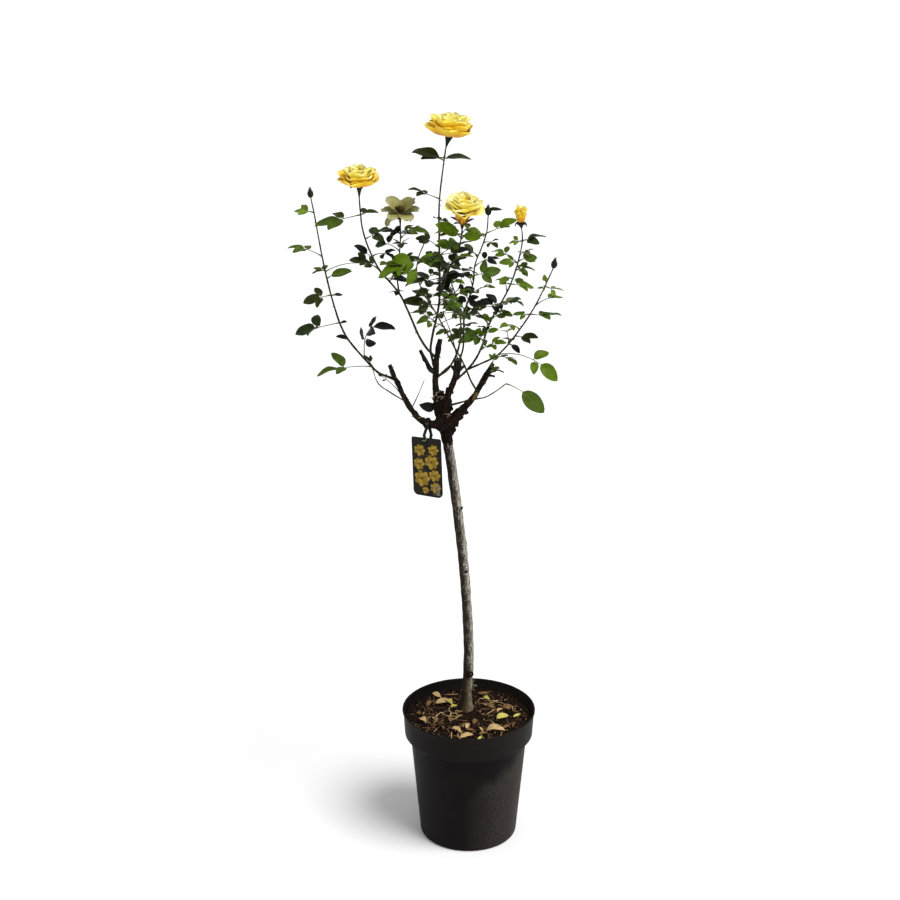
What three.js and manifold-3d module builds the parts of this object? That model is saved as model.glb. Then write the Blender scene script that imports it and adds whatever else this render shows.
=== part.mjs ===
// A standard rose in a nursery pot: a grafted head of pruned canes and thin flowering shoots on one bare
// stem, with a plant label hanging from its lowest cane. Millimetres, +Z up; the origin is the centre of
// the pot's flat underside.
import * as THREE from 'three';
import { mergeVertices } from 'three/addons/utils/BufferGeometryUtils.js';
import Module from 'manifold-3d';

const wasm = await Module();
wasm.setup();

// ---------------------------------------------------------------- driving dimensions
const GAP = 0.3;                 // air left between two solids that meet
const MERGE_DISTANCE = 1e-4;

const POT_HEIGHT = 246;
const POT_RIM_RADIUS = 120.5;
const POT_COLLAR_HEIGHT = 48;
const POT_COLLAR_FOOT_RADIUS = 116;
const POT_BODY_TOP_RADIUS = 106;
const POT_FOOT_RADIUS = 88.5;
const POT_WALL = 2.2;
const POT_FLOOR = 4;
const POT_SEGMENTS = 36;
const POT_RIM_STEP = 1;          // how far the lip stands out from the collar

const SOIL_LEVEL = 229;          // top of the compost at the stem
const SOIL_FLAT_RADIUS = 46;     // level patch that the stem stands on
const SOIL_UNEVENNESS = 1.6;
const SOIL_SEGMENTS = 24;
const SOIL_EDGE_DROP = 2;        // the compost is this much lower against the wall

const TRUNK_RADIUS = 8.6;
const TRUNK_TOP_RADIUS = 8;
const FLARE_EXTRA = 5;           // what the root flare adds to the radius at the soil
const FLARE_HEIGHT = 16;
const STEM_FOOT = new THREE.Vector3(-6, 28, SOIL_LEVEL);   // behind the pot's centre: the stem leans forward

const KNOB_PLACE = 0.9;          // how far up the middle cane its old cuts have swollen into a knob
const KNOB_REACH = 0.16;
const KNOB_SWELLING = 1.8;
const MIDDLE_CANE_RADIUS = 4.7;
const MIDDLE_CANE_WIDENING = 0.2;

const UNION_CENTRE = new THREE.Vector3(-39, 0, 786);
const UNION_RADIUS = 14;
const UNION_HALF_HEIGHT = 24;

const CARD_WIDTH = 52;
const CARD_HEIGHT = 101;
const CARD_THICKNESS = 0.8;
const CARD_OFFSET = 3;             // how far the card hangs to the left of the strap
const CARD_TOP_CORNER = 3;
const CARD_FOOT_CORNER = 9;
const CARD_LEAN = THREE.MathUtils.degToRad(-2);   // its foot swings a little to the right
const CARD_TURN = THREE.MathUtils.degToRad(-25);  // about the vertical: its right edge is nearer the front
const LABEL_HANGER = new THREE.Vector3(-72, -10, 793);   // where the strap goes over the lowest cane
const STRAP_WIDTH = 5.5;
const STRAP_THICKNESS = 0.7;
const STRAP_LOOP_CLEARANCE = 4;
const STRAP_LOOP_DROP = 1.2;     // how far the loop hangs below centre on the cane
const STRAP_LAP = 9;             // length of strap that lies against the card
const STRAP_SPREAD = 10;         // sideways distance between the strap's two legs at the card
const STRAP_FALL = 28;           // from the cane's axis down to the card's top
const STRAP_CARD_EDGE = 0.5;     // above the card's top edge, where the legs start to open
const STRAP_OPEN_HEIGHT = 8;     // above that edge, where they stand off by the next figure
const STRAP_STANDOFF = 2.5;
const STRAP_OPEN_TURN = 0.7;     // share of the card's turn that the legs keep there
const STRAP_LOOP_SPREAD = 0.15;  // share of the spread that is left over the cane

// ---------------------------------------------------------------- materials
const finish = (color, roughness) => new THREE.MeshStandardMaterial({ color, roughness, metalness: 0 });
const FINISHES = {
  pot: finish(0x1b1b1c, 0.5),
  soil: finish(0x2b211a, 0.95),
  trunk: finish(0x7c7163, 0.85),
  union: finish(0x3d2a22, 0.9),
  cane: finish(0x33261e, 0.8),
  shoot: finish(0x5c5a2c, 0.6),
  leaf: finish(0x55702a, 0.7),
  petal: finish(0xf2d95c, 0.6),
  fadedPetal: finish(0xcfc692, 0.7),
  bud: finish(0x5f7a34, 0.6),
  card: finish(0x16302a, 0.4),
  strap: finish(0x14403a, 0.45),
};

// ---------------------------------------------------------------- small helpers
const vec = (x, y, z) => new THREE.Vector3(x, y, z);
const scene = new THREE.Group();
scene.name = 'potted_standard_rose';

function addMesh(name, geometry, material) {
  const mesh = new THREE.Mesh(geometry, material);
  mesh.name = name;
  scene.add(mesh);
  return mesh;
}

// A seeded stream of numbers from 0 to 1.
function seededNumbers(seed) {
  let state = seed >>> 0;
  return () => {
    state = (state + 0x6d2b79f5) >>> 0;
    let mixed = Math.imul(state ^ (state >>> 15), 1 | state);
    mixed = (mixed + Math.imul(mixed ^ (mixed >>> 7), 61 | mixed)) ^ mixed;
    return ((mixed ^ (mixed >>> 14)) >>> 0) / 2 ** 32;
  };
}

const middleOf = (ring) => ring.reduce((sum, p) => sum.add(p), vec(0, 0, 0)).divideScalar(ring.length);

// A closed skin over rings of points that all run the same way round, with one point closing each end.
function skin(rings, firstPoint, lastPoint) {
  const sides = rings[0].length;
  const points = [firstPoint, ...rings.flat(), lastPoint];
  const last = points.length - 1;
  const at = (ring, i) => 1 + ring * sides + (i % sides);
  const faces = [];
  for (let i = 0; i < sides; i++) {
    faces.push(0, at(0, i + 1), at(0, i));
    faces.push(last, at(rings.length - 1, i), at(rings.length - 1, i + 1));
    for (let ring = 0; ring < rings.length - 1; ring++) {
      faces.push(at(ring, i), at(ring, i + 1), at(ring + 1, i + 1));
      faces.push(at(ring, i), at(ring + 1, i + 1), at(ring + 1, i));
    }
  }
  const geometry = new THREE.BufferGeometry();
  geometry.setAttribute('position', new THREE.Float32BufferAttribute(points.flatMap((p) => p.toArray()), 3));
  geometry.setIndex(faces);
  return geometry;
}

function toManifold(geometry) {
  const bare = geometry.clone();
  bare.deleteAttribute('normal');
  bare.deleteAttribute('uv');
  const merged = mergeVertices(bare, MERGE_DISTANCE);
  return new wasm.Manifold(new wasm.Mesh({
    numProp: 3,
    vertProperties: new Float32Array(merged.attributes.position.array),
    triVerts: new Uint32Array(merged.index.array),
  }));
}

function toGeometry(solid) {
  const mesh = solid.getMesh();
  const geometry = new THREE.BufferGeometry();
  geometry.setAttribute('position', new THREE.Float32BufferAttribute(mesh.vertProperties, 3));
  geometry.setIndex(Array.from(mesh.triVerts));
  return geometry;
}

// Cuts a solid round others and keeps its largest piece.
function cutRound(solid, others) {
  const box = solid.boundingBox();
  const near = others.filter((other) => {
    const otherBox = other.boundingBox();
    return [0, 1, 2].every((k) => otherBox.min[k] < box.max[k] && otherBox.max[k] > box.min[k]);
  });
  const rest = near.reduce((left, other) => left.subtract(other), solid);
  const pieces = rest.decompose().sort((a, b) => b.volume() - a.volume());
  return pieces[0];
}

// ---------------------------------------------------------------- limbs
const LIMB_SIDES = 6;
const TRUNK_SIDES = 10;
const CANE_SIDES = 8;
const LIMB_STEP = 28;            // spacing of a limb's rings
const TRUNK_STEP = 26;
const SEARCH_STEPS = 200;        // places tried along a limb
const limbs = {};

class Limb {
  constructor(points, radiusAt, sides, step, levelFoot) {
    this.levelFoot = levelFoot;
    this.curve = new THREE.CatmullRomCurve3(points, false, 'centripetal');
    this.radiusAt = radiusAt;
    this.sides = sides;
    this.steps = Math.max(4, Math.round(this.curve.getLength() / step));
  }

  geometry(grow = 0) {
    const frames = this.curve.computeFrenetFrames(this.steps, false);
    const rings = [];
    for (let i = 0; i <= this.steps; i++) {
      const u = i / this.steps;
      const along = i === 0 ? -grow : i === this.steps ? grow : 0;
      const centre = this.curve.getPointAt(u).addScaledVector(frames.tangents[i], along);
      const radius = this.radiusAt(u) + grow;
      rings.push(Array.from({ length: this.sides }, (_, j) => {
        const angle = (2 * Math.PI * j) / this.sides;
        return centre.clone()
          .addScaledVector(frames.normals[i], radius * Math.cos(angle))
          .addScaledVector(frames.binormals[i], radius * Math.sin(angle));
      }));
    }
    if (this.levelFoot) rings[0].forEach((point) => point.setZ(this.curve.getPointAt(0).z - grow));
    return skin(rings, middleOf(rings[0]), middleOf(rings[rings.length - 1]));
  }

  // How far along the limb its axis comes nearest to a point.
  nearest(point) {
    return this.least((place) => place.distanceTo(point));
  }

  atHeight(z) {
    return this.curve.getPointAt(this.least((place) => Math.abs(place.z - z)));
  }

  least(measure) {
    let best = 0;
    for (let i = 1; i <= SEARCH_STEPS; i++) {
      const u = i / SEARCH_STEPS;
      if (measure(this.curve.getPointAt(u)) < measure(this.curve.getPointAt(best))) best = u;
    }
    return best;
  }

  end() {
    return this.curve.getPointAt(1);
  }

  endDirection() {
    return this.curve.getTangentAt(1);
  }
}

const taper = (baseDiameter, tipDiameter) => (u) => THREE.MathUtils.lerp(baseDiameter, tipDiameter, u) / 2;

function addLimb(name, points, radiusAt, material, sides = LIMB_SIDES, step = LIMB_STEP, levelFoot = false) {
  limbs[name] = new Limb(points, radiusAt, sides, step, levelFoot);
  addMesh(name, limbs[name].geometry(), material);
}

// A side shoot starts on its parent's surface, square to it for a short way, and then follows its route.
const SQUARE_START = 3;
function addSideShoot(name, parentName, from, route, baseDiameter, tipDiameter) {
  const parent = limbs[parentName];
  const u = parent.nearest(from);
  const axisPoint = parent.curve.getPointAt(u);
  const along = parent.curve.getTangentAt(u);
  const outward = from.clone().sub(axisPoint);
  outward.addScaledVector(along, -outward.dot(along)).normalize();
  const start = axisPoint.clone().addScaledVector(outward, parent.radiusAt(u) + GAP);
  const square = start.clone().addScaledVector(outward, SQUARE_START);
  addLimb(name, [start, square, ...route], taper(baseDiameter, tipDiameter), FINISHES.shoot);
}

// ---------------------------------------------------------------- pot and compost
function lathe(profile, segments) {
  const points = profile.map(([radius, height]) => new THREE.Vector2(radius, height));
  const geometry = new THREE.LatheGeometry(points, segments);
  geometry.rotateX(Math.PI / 2);
  return geometry;
}

function addPot() {
  const collarFoot = POT_HEIGHT - POT_COLLAR_HEIGHT;
  const footCurve = 3;
  const rimLip = 3;
  const outer = [
    [0, 0],
    [POT_FOOT_RADIUS - footCurve, 0],
    [POT_FOOT_RADIUS, footCurve],
    [POT_BODY_TOP_RADIUS, collarFoot],
    [POT_COLLAR_FOOT_RADIUS, collarFoot],
    [POT_RIM_RADIUS - POT_RIM_STEP, POT_HEIGHT - rimLip],
    [POT_RIM_RADIUS, POT_HEIGHT - rimLip],
    [POT_RIM_RADIUS, POT_HEIGHT],
  ];
  const inner = [
    [POT_RIM_RADIUS - POT_WALL, POT_HEIGHT],
    [POT_COLLAR_FOOT_RADIUS - POT_WALL, collarFoot + POT_WALL],
    [POT_BODY_TOP_RADIUS - POT_WALL, collarFoot + POT_WALL],
    [POT_FOOT_RADIUS - POT_WALL, POT_FLOOR],
    [0, POT_FLOOR],
  ];
  addMesh('pot', lathe([...outer, ...inner], POT_SEGMENTS), FINISHES.pot);
}

function addSoil() {
  const collarFoot = POT_HEIGHT - POT_COLLAR_HEIGHT;
  const shelf = collarFoot + POT_WALL + GAP;
  const slack = POT_WALL + 2 * GAP;
  const collarSlope = (POT_RIM_RADIUS - POT_COLLAR_FOOT_RADIUS) / POT_COLLAR_HEIGHT;
  const topRadius = POT_COLLAR_FOOT_RADIUS - slack + collarSlope * (SOIL_LEVEL - collarFoot) - 1;
  const profile = [
    [0, POT_FLOOR + GAP],
    [POT_FOOT_RADIUS - slack, POT_FLOOR + GAP],
    [POT_BODY_TOP_RADIUS - slack - GAP, shelf],
    [POT_COLLAR_FOOT_RADIUS - slack - GAP, shelf],
    [topRadius, SOIL_LEVEL - SOIL_EDGE_DROP],
    [topRadius * 0.72, SOIL_LEVEL - SOIL_EDGE_DROP / 2],
    [topRadius * 0.45, SOIL_LEVEL - SOIL_EDGE_DROP / 4],
    [SOIL_FLAT_RADIUS, SOIL_LEVEL],
    [0, SOIL_LEVEL],
  ];
  const geometry = lathe(profile, SOIL_SEGMENTS);
  const places = geometry.attributes.position;
  const surfaceFrom = SOIL_LEVEL - 0.75 * SOIL_EDGE_DROP;
  for (let i = 0; i < places.count; i++) {
    const radius = Math.hypot(places.getX(i), places.getY(i));
    if (places.getZ(i) < surfaceFrom || radius < SOIL_FLAT_RADIUS + 1) continue;
    const bearing = Math.atan2(places.getY(i), places.getX(i));
    const swell = Math.sin(3 * bearing + radius) * Math.cos(5 * bearing);
    places.setZ(i, places.getZ(i) + SOIL_UNEVENNESS * (swell - 0.4));
  }
  addMesh('soil', geometry, FINISHES.soil);
}

// ---------------------------------------------------------------- stem, graft union and canes
function trunkRadius(u) {
  const height = u * (UNION_CENTRE.z - SOIL_LEVEL);
  const flare = FLARE_EXTRA * Math.exp(-height / FLARE_HEIGHT);
  return THREE.MathUtils.lerp(TRUNK_RADIUS, TRUNK_TOP_RADIUS, u) + flare;
}

// The middle cane swells into a knob where it was cut back year after year.
function knobbedRadius(u) {
  const knob = KNOB_SWELLING * Math.exp(-(((u - KNOB_PLACE) / KNOB_REACH) ** 2));
  return MIDDLE_CANE_RADIUS + MIDDLE_CANE_WIDENING * u + knob;
}

function addStemAndCanes() {
  const trunkRoute = [
    STEM_FOOT.clone().add(vec(0, 0, GAP)),
    vec(-3, 25, 275),
    vec(0, 21, 343),
    vec(-9, 12, 513),
    vec(-30, 3, 699),
    vec(-41, 0, 773),
  ];
  addLimb('trunk', trunkRoute, trunkRadius, FINISHES.trunk, TRUNK_SIDES, TRUNK_STEP, true);

  const leftRoute = [vec(-50, -3, 786), vec(-78, -12, 795), vec(-97, -18, 815), vec(-127, -26, 878),
    vec(-135, -28, 901)];
  addLimb('left_cane', leftRoute, taper(10, 7.4), FINISHES.cane, CANE_SIDES, 12);

  const centreRoute = [vec(-50, 7, 798), vec(-57, 9, 833), vec(-58, 10, 888), vec(-51, 12, 935)];
  addLimb('centre_cane', centreRoute, taper(10, 7.6), FINISHES.cane, CANE_SIDES, 14);

  const midRoute = [vec(-42, 3, 806), vec(-37, 2, 838), vec(-22, -4, 882), vec(-21, -6, 905)];
  addLimb('mid_cane', midRoute, knobbedRadius, FINISHES.cane, CANE_SIDES, 10);

  const rightRoute = [vec(-31, 3, 790), vec(-17, 6, 808), vec(7, 14, 832), vec(17, 18, 849),
    vec(40, 30, 887)];
  addLimb('right_cane', rightRoute, taper(12, 8), FINISHES.cane, CANE_SIDES, 12);

  const union = lump({
    route: [vec(0, 0, -UNION_HALF_HEIGHT), vec(-1, 0, 0), vec(-2, 2, UNION_HALF_HEIGHT)],
    width: 2 * UNION_RADIUS,
    depth: 2 * UNION_RADIUS,
    fullness: [0.62, 0.82, 1, 0.96, 0.7],
    sides: 10,
    roughness: 0.1,
    seed: 5,
  });
  const round = ['trunk', 'left_cane', 'centre_cane', 'mid_cane', 'right_cane'];
  const cutters = round.map((name) => toManifold(limbs[name].geometry(GAP)));
  const placed = toManifold(union).translate(UNION_CENTRE.toArray());
  addMesh('graft_union', toGeometry(cutRound(placed, cutters)), FINISHES.union);
}

// ---------------------------------------------------------------- flowering shoots
function addShoots() {
  addSideShoot('pruned_stub', 'centre_cane', vec(-66, 2, 879), [vec(-75, -6, 902), vec(-84, -12, 922)], 7, 6.4);
  addSideShoot('left_shoot', 'left_cane', vec(-138, -24, 874),
    [vec(-147, -22, 880), vec(-182, -6, 910), vec(-213, 14, 945), vec(-234, 34, 1001), vec(-249, 50, 1063),
      vec(-262, 62, 1136), vec(-268, 66, 1167)], 5, 2.6);
  addSideShoot('left_bloom_shoot', 'centre_cane', vec(-64, 2, 906),
    [vec(-85, -12, 945), vec(-102, -30, 991), vec(-120, -46, 1033), vec(-148, -60, 1070),
      vec(-173, -76, 1135), vec(-179, -86, 1202)], 5.2, 2.8);
  addSideShoot('faded_bloom_shoot', 'left_bloom_shoot', vec(-117, -40, 1036),
    [vec(-122, -20, 1058), vec(-117, 20, 1095), vec(-117, 40, 1130)], 3.4, 2.6);
  addSideShoot('top_shoot', 'centre_cane', vec(-67, 10, 893),
    [vec(-67, 9, 915), vec(-62, 12, 951), vec(-53, 18, 990), vec(-52, 32, 1084), vec(-52, 36, 1160),
      vec(-46, 34, 1218), vec(-39, 28, 1268)], 5.2, 2.8);
  addSideShoot('right_bloom_shoot', 'top_shoot', vec(-50, 12, 1010),
    [vec(-42, -20, 1045), vec(-32, -44, 1078), vec(-18, -66, 1116), vec(-14, -74, 1145)], 3.8, 2.7);
  addSideShoot('crossing_shoot', 'right_cane', vec(8, 6, 848),
    [vec(-2, -8, 875), vec(-10, -20, 899), vec(-28, -44, 939), vec(-50, -70, 989), vec(-85, -98, 1062),
      vec(-87, -104, 1091), vec(-75, -104, 1125)], 4, 2.2);
  addSideShoot('bud_shoot', 'mid_cane', vec(-19, 4, 896),
    [vec(-12, 14, 918), vec(-9, 44, 973), vec(5, 64, 1016), vec(9, 74, 1051), vec(27, 86, 1096),
      vec(31, 90, 1132)], 4.2, 2.4);
  addSideShoot('tall_shoot', 'mid_cane', vec(-24, 8, 864),
    [vec(-14, 16, 870), vec(14, 40, 899), vec(35, 76, 948), vec(66, 110, 995), vec(84, 132, 1040),
      vec(92, 140, 1085), vec(89, 142, 1108)], 5, 2.6);
  addSideShoot('right_shoot', 'tall_shoot', vec(0, 22, 880),
    [vec(10, 14, 888), vec(29, 4, 899), vec(50, -8, 916), vec(88, -36, 974), vec(109, -52, 1015),
      vec(134, -65, 1076)], 4.2, 2.3);
  addSideShoot('low_twig', 'right_cane', vec(14, 8, 828), [vec(40, -10, 847), vec(60, -30, 869)], 3, 2.2);
  addSideShoot('back_shoot', 'centre_cane', vec(-52, 18, 868),
    [vec(-39, 35, 874), vec(-20, 85, 896), vec(-15, 115, 921), vec(-18, 142, 953), vec(-41, 180, 1025)], 4.8, 2.5);
}

// ---------------------------------------------------------------- lumps: blooms, buds and leaf masses
// An uneven closed solid strung on a curve. Fullness gives the share of the full width and depth at even
// steps along it; roughness is the share by which each corner may stray.
function lump({ route, width, depth, fullness, sides, roughness, seed, grow = 0 }) {
  const curve = new THREE.CatmullRomCurve3(route, false, 'centripetal');
  const random = seededNumbers(seed);
  const up = Math.abs(curve.getTangentAt(0.5).z) > 0.9 ? vec(0, 1, 0) : vec(0, 0, 1);
  const inset = 0.5 / fullness.length;
  const rings = fullness.map((full, i) => {
    const u = THREE.MathUtils.lerp(inset, 1 - inset, i / (fullness.length - 1));
    const centre = curve.getPointAt(u);
    const tangent = curve.getTangentAt(u);
    const across = tangent.clone().cross(up).normalize();
    const down = tangent.clone().cross(across);
    return Array.from({ length: sides }, (_, j) => {
      const angle = (2 * Math.PI * j) / sides;
      const stray = 1 + roughness * (2 * random() - 1);
      return centre.clone()
        .addScaledVector(across, (stray * full * width / 2 + grow) * Math.cos(angle))
        .addScaledVector(down, (stray * full * depth / 2 + grow) * Math.sin(angle));
    });
  });
  const first = curve.getPointAt(0).addScaledVector(curve.getTangentAt(0), -grow);
  const last = curve.getPointAt(1).addScaledVector(curve.getTangentAt(1), grow);
  return skin(rings, first, last);
}

const takenSolids = [];

function addFlower(name, limbName, { facing, diameter, height, fullness, seed, material, sides = 12 }) {
  const limb = limbs[limbName];
  const base = limb.end().addScaledVector(limb.endDirection(), GAP);
  const axis = facing.clone().normalize();
  const route = [base, base.clone().addScaledVector(axis, height / 2), base.clone().addScaledVector(axis, height)];
  const shape = { route, width: diameter, depth: diameter, fullness, sides, roughness: 0.1, seed };
  const solid = cutRound(toManifold(lump(shape)), limbCutters);
  addMesh(name, toGeometry(solid), material);
  takenSolids.push(toManifold(lump({ ...shape, grow: GAP })));
}

const CUP = [0.3, 0.72, 0.98, 1, 0.86, 0.55];
const DISH = [0.25, 0.7, 0.96, 0.9, 0.5];
const POINTED_BUD = [0.55, 0.95, 1, 0.8, 0.45];

function addFlowers() {
  addFlower('top_bloom', 'top_shoot',
    { facing: vec(0.08, -0.12, 1), diameter: 76, height: 46, fullness: CUP, seed: 11, material: FINISHES.petal });
  addFlower('left_bloom', 'left_bloom_shoot',
    { facing: vec(-0.05, -0.15, 1), diameter: 69, height: 44, fullness: CUP, seed: 12, material: FINISHES.petal });
  addFlower('right_bloom', 'right_bloom_shoot',
    { facing: vec(0.12, -0.35, 1), diameter: 66, height: 54, fullness: CUP, seed: 13, material: FINISHES.petal });
  addFlower('faded_bloom', 'faded_bloom_shoot',
    { facing: vec(0.12, -0.55, 0.8), diameter: 70, height: 30, fullness: DISH, seed: 14,
      material: FINISHES.fadedPetal });
  addFlower('opening_bud', 'tall_shoot',
    { facing: vec(-0.05, -0.05, 1), diameter: 21, height: 31, fullness: POINTED_BUD, seed: 15,
      material: FINISHES.petal, sides: 8 });
  addFlower('left_bud', 'left_shoot',
    { facing: vec(-0.1, 0, 1), diameter: 10, height: 19, fullness: POINTED_BUD, seed: 16, material: FINISHES.bud,
      sides: 6 });
  addFlower('right_bud', 'right_shoot',
    { facing: vec(0.2, -0.1, 1), diameter: 10, height: 20, fullness: POINTED_BUD, seed: 17,
      material: FINISHES.bud, sides: 6 });
}

// Each leaf mass: where its shoot carries it (height above the pot's foot), how far it reaches from there
// on the near and the far side, how much its middle arches up, and its width and thickness.
const LEAF_MASSES = [
  ['left_shoot', 893, [5, 0, 0], [-98, -22, -12], 8, 36, 24],
  ['left_shoot', 905, [-2, 0, 0], [64, -30, 58], 18, 36, 30],
  ['left_shoot', 955, [12, -4, 10], [-82, 25, -20], 4, 36, 26],
  ['left_shoot', 1003, [20, -5, 5], [-48, 10, -12], 4, 30, 20],
  ['left_shoot', 1048, [38, -8, -2], [-28, 10, -12], 0, 34, 26],
  ['left_shoot', 1066, [4, 0, 0], [-65, 15, 14], 8, 26, 18],
  ['left_shoot', 1140, [5, 0, 0], [-36, 8, 2], 5, 18, 14],
  ['left_bloom_shoot', 1124, [-4, 0, 0], [44, 5, 18], 2, 30, 24],
  ['left_bloom_shoot', 1158, [28, 0, 10], [-70, -10, -8], 2, 36, 30],
  ['faded_bloom_shoot', 1113, [-32, 0, 2], [52, -8, -2], 4, 32, 24],
  ['crossing_shoot', 1100, [38, -5, 6], [-64, 0, -32], 8, 46, 38],
  ['top_shoot', 990, [42, 0, 0], [-62, -10, 12], -4, 34, 26],
  ['top_shoot', 1030, [52, 5, 8], [-62, -20, -4], 6, 48, 42],
  ['top_shoot', 1078, [-36, -5, -14], [54, 0, 6], 4, 36, 28],
  ['top_shoot', 1166, [5, 0, 0], [-54, -12, 22], 6, 26, 18],
  ['top_shoot', 1240, [50, 0, -4], [-58, -14, 10], -4, 30, 20],
  ['right_bloom_shoot', 1126, [40, -5, 6], [-48, 10, 4], 4, 40, 28],
  ['bud_shoot', 985, [-26, -5, -22], [24, 4, 16], 0, 34, 28],
  ['bud_shoot', 1036, [-10, 0, -8], [48, 8, 4], 4, 42, 26],
  ['bud_shoot', 1105, [-22, 0, -14], [50, 5, 18], 0, 30, 20],
  ['tall_shoot', 928, [26, -8, 14], [-46, -14, -8], 2, 38, 26],
  ['tall_shoot', 968, [45, 5, 14], [-45, -15, 8], 0, 42, 32],
  ['tall_shoot', 1002, [44, 10, -6], [-24, -6, 14], 2, 38, 30],
  ['tall_shoot', 1076, [-24, 0, -4], [44, 4, 6], 2, 22, 16],
  ['right_shoot', 912, [-5, 0, 0], [106, -40, -40], 22, 28, 22],
  ['right_shoot', 954, [-28, 5, -8], [38, -8, -4], 2, 32, 24],
  ['right_shoot', 990, [-28, 5, 0], [54, -8, 2], 2, 30, 22],
  ['right_shoot', 1048, [-16, 0, -8], [28, -2, -12], 2, 26, 22],
  ['low_twig', 864, [-3, 0, -2], [68, -20, -44], 12, 42, 16],
  ['back_shoot', 975, [42, 5, 5], [-45, -10, 0], 2, 42, 32],
  ['back_shoot', 1012, [-20, 0, 4], [32, 8, 26], 2, 34, 26],
];
const SPRAY = [0.42, 0.86, 1, 0.94, 0.5];

function addLeafMasses() {
  const counts = {};
  LEAF_MASSES.forEach(([limbName, height, near, far, arch, width, depth], index) => {
    counts[limbName] = (counts[limbName] ?? 0) + 1;
    const hold = limbs[limbName].atHeight(height);
    const start = hold.clone().add(vec(...near));
    const end = hold.clone().add(vec(...far));
    const middle = start.clone().lerp(end, 0.5).add(vec(0, 0, arch));
    const shape = { route: [start, middle, end], width, depth, fullness: SPRAY, sides: 7, roughness: 0.22,
      seed: 100 + index };
    const solid = cutRound(toManifold(lump(shape)), [...limbCutters, ...takenSolids]);
    takenSolids.push(toManifold(lump({ ...shape, grow: GAP })));
    addMesh(`${limbName}_leaves_${counts[limbName]}`, toGeometry(solid), FINISHES.leaf);
  });
}

// ---------------------------------------------------------------- hanging label
// The strap is one band: up the card's face, over the cane and down behind the card.
function addLabel() {
  const cane = limbs.left_cane;
  const u = cane.nearest(LABEL_HANGER);
  const hanger = cane.curve.getPointAt(u);
  const loopRadius = cane.radiusAt(u) + STRAP_LOOP_CLEARANCE + STRAP_THICKNESS / 2;
  const loopCentre = hanger.clone().add(vec(0, 0, -STRAP_LOOP_DROP));
  const cardTop = hanger.z - STRAP_FALL;

  const shape = new THREE.Shape();
  const left = -CARD_WIDTH / 2;
  const right = CARD_WIDTH / 2;
  shape.moveTo(left + CARD_TOP_CORNER, 0);
  shape.lineTo(right - CARD_TOP_CORNER, 0);
  shape.absarc(right - CARD_TOP_CORNER, -CARD_TOP_CORNER, CARD_TOP_CORNER, Math.PI / 2, 0, true);
  shape.lineTo(right, -CARD_HEIGHT + CARD_FOOT_CORNER);
  shape.absarc(right - CARD_FOOT_CORNER, -CARD_HEIGHT + CARD_FOOT_CORNER, CARD_FOOT_CORNER, 0, -Math.PI / 2, true);
  shape.lineTo(left + CARD_FOOT_CORNER, -CARD_HEIGHT);
  shape.absarc(left + CARD_FOOT_CORNER, -CARD_HEIGHT + CARD_FOOT_CORNER, CARD_FOOT_CORNER, -Math.PI / 2,
    -Math.PI, true);
  shape.lineTo(left, -CARD_TOP_CORNER);
  shape.absarc(left + CARD_TOP_CORNER, -CARD_TOP_CORNER, CARD_TOP_CORNER, Math.PI, Math.PI / 2, true);
  const slab = new THREE.ExtrudeGeometry(shape, { depth: CARD_THICKNESS, bevelEnabled: false, curveSegments: 4 });
  slab.translate(0, 0, -CARD_THICKNESS / 2);
  slab.rotateZ(-CARD_LEAN);
  slab.rotateX(Math.PI / 2);
  slab.rotateZ(CARD_TURN);
  slab.translate(hanger.x - CARD_OFFSET, hanger.y, cardTop);
  addMesh('label_card', slab, FINISHES.card);

  const lapOffset = CARD_THICKNESS / 2 + GAP + STRAP_THICKNESS / 2;
  const turned = (angle, x, y) => vec(x * Math.cos(angle) - y * Math.sin(angle),
    x * Math.sin(angle) + y * Math.cos(angle), 0);
  // A place on one of the two legs: side -1 is in front of the card, 1 behind it.
  const legPlace = (side, away, height) => turned(CARD_TURN, CARD_OFFSET + side * STRAP_SPREAD / 2, side * away)
    .add(vec(hanger.x - CARD_OFFSET, hanger.y, cardTop + height));
  const leg = (side) => [
    { centre: legPlace(side, lapOffset, -STRAP_LAP), turn: CARD_TURN },
    { centre: legPlace(side, lapOffset, STRAP_CARD_EDGE), turn: CARD_TURN },
    {
      centre: legPlace(side, lapOffset + STRAP_STANDOFF, STRAP_OPEN_HEIGHT),
      turn: CARD_TURN * STRAP_OPEN_TURN,
    },
  ];
  const path = leg(-1);
  const arcSteps = 8;
  const loopShift = STRAP_SPREAD * STRAP_LOOP_SPREAD / 2;
  for (let i = 0; i <= arcSteps; i++) {
    const share = i / arcSteps;
    const angle = Math.PI - share * Math.PI;
    path.push({ centre: vec(hanger.x + THREE.MathUtils.lerp(-loopShift, loopShift, share),
      loopCentre.y + loopRadius * Math.cos(angle), loopCentre.z + loopRadius * Math.sin(angle)), turn: 0 });
  }
  path.push(...leg(1).reverse());
  const rings = path.map(({ centre, turn }, i) => {
    const before = path[Math.max(0, i - 1)].centre;
    const after = path[Math.min(path.length - 1, i + 1)].centre;
    const across = turned(turn, 1, 0);
    const along = after.clone().sub(before);
    along.addScaledVector(across, -along.dot(across)).normalize();
    const thick = along.cross(across);
    const corner = (sideways, out) => centre.clone()
      .addScaledVector(across, sideways * STRAP_WIDTH / 2)
      .addScaledVector(thick, out * STRAP_THICKNESS / 2);
    return [corner(-1, 1), corner(-1, -1), corner(1, -1), corner(1, 1)];
  });
  const strap = skin(rings, middleOf(rings[0]), middleOf(rings[rings.length - 1]));
  addMesh('label_strap', strap, FINISHES.strap);
}

addPot();
addSoil();
addStemAndCanes();
addShoots();
const limbCutters = Object.values(limbs).map((limb) => toManifold(limb.geometry(GAP)));
addFlowers();
addLeafMasses();
addLabel();

export default scene;
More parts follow.
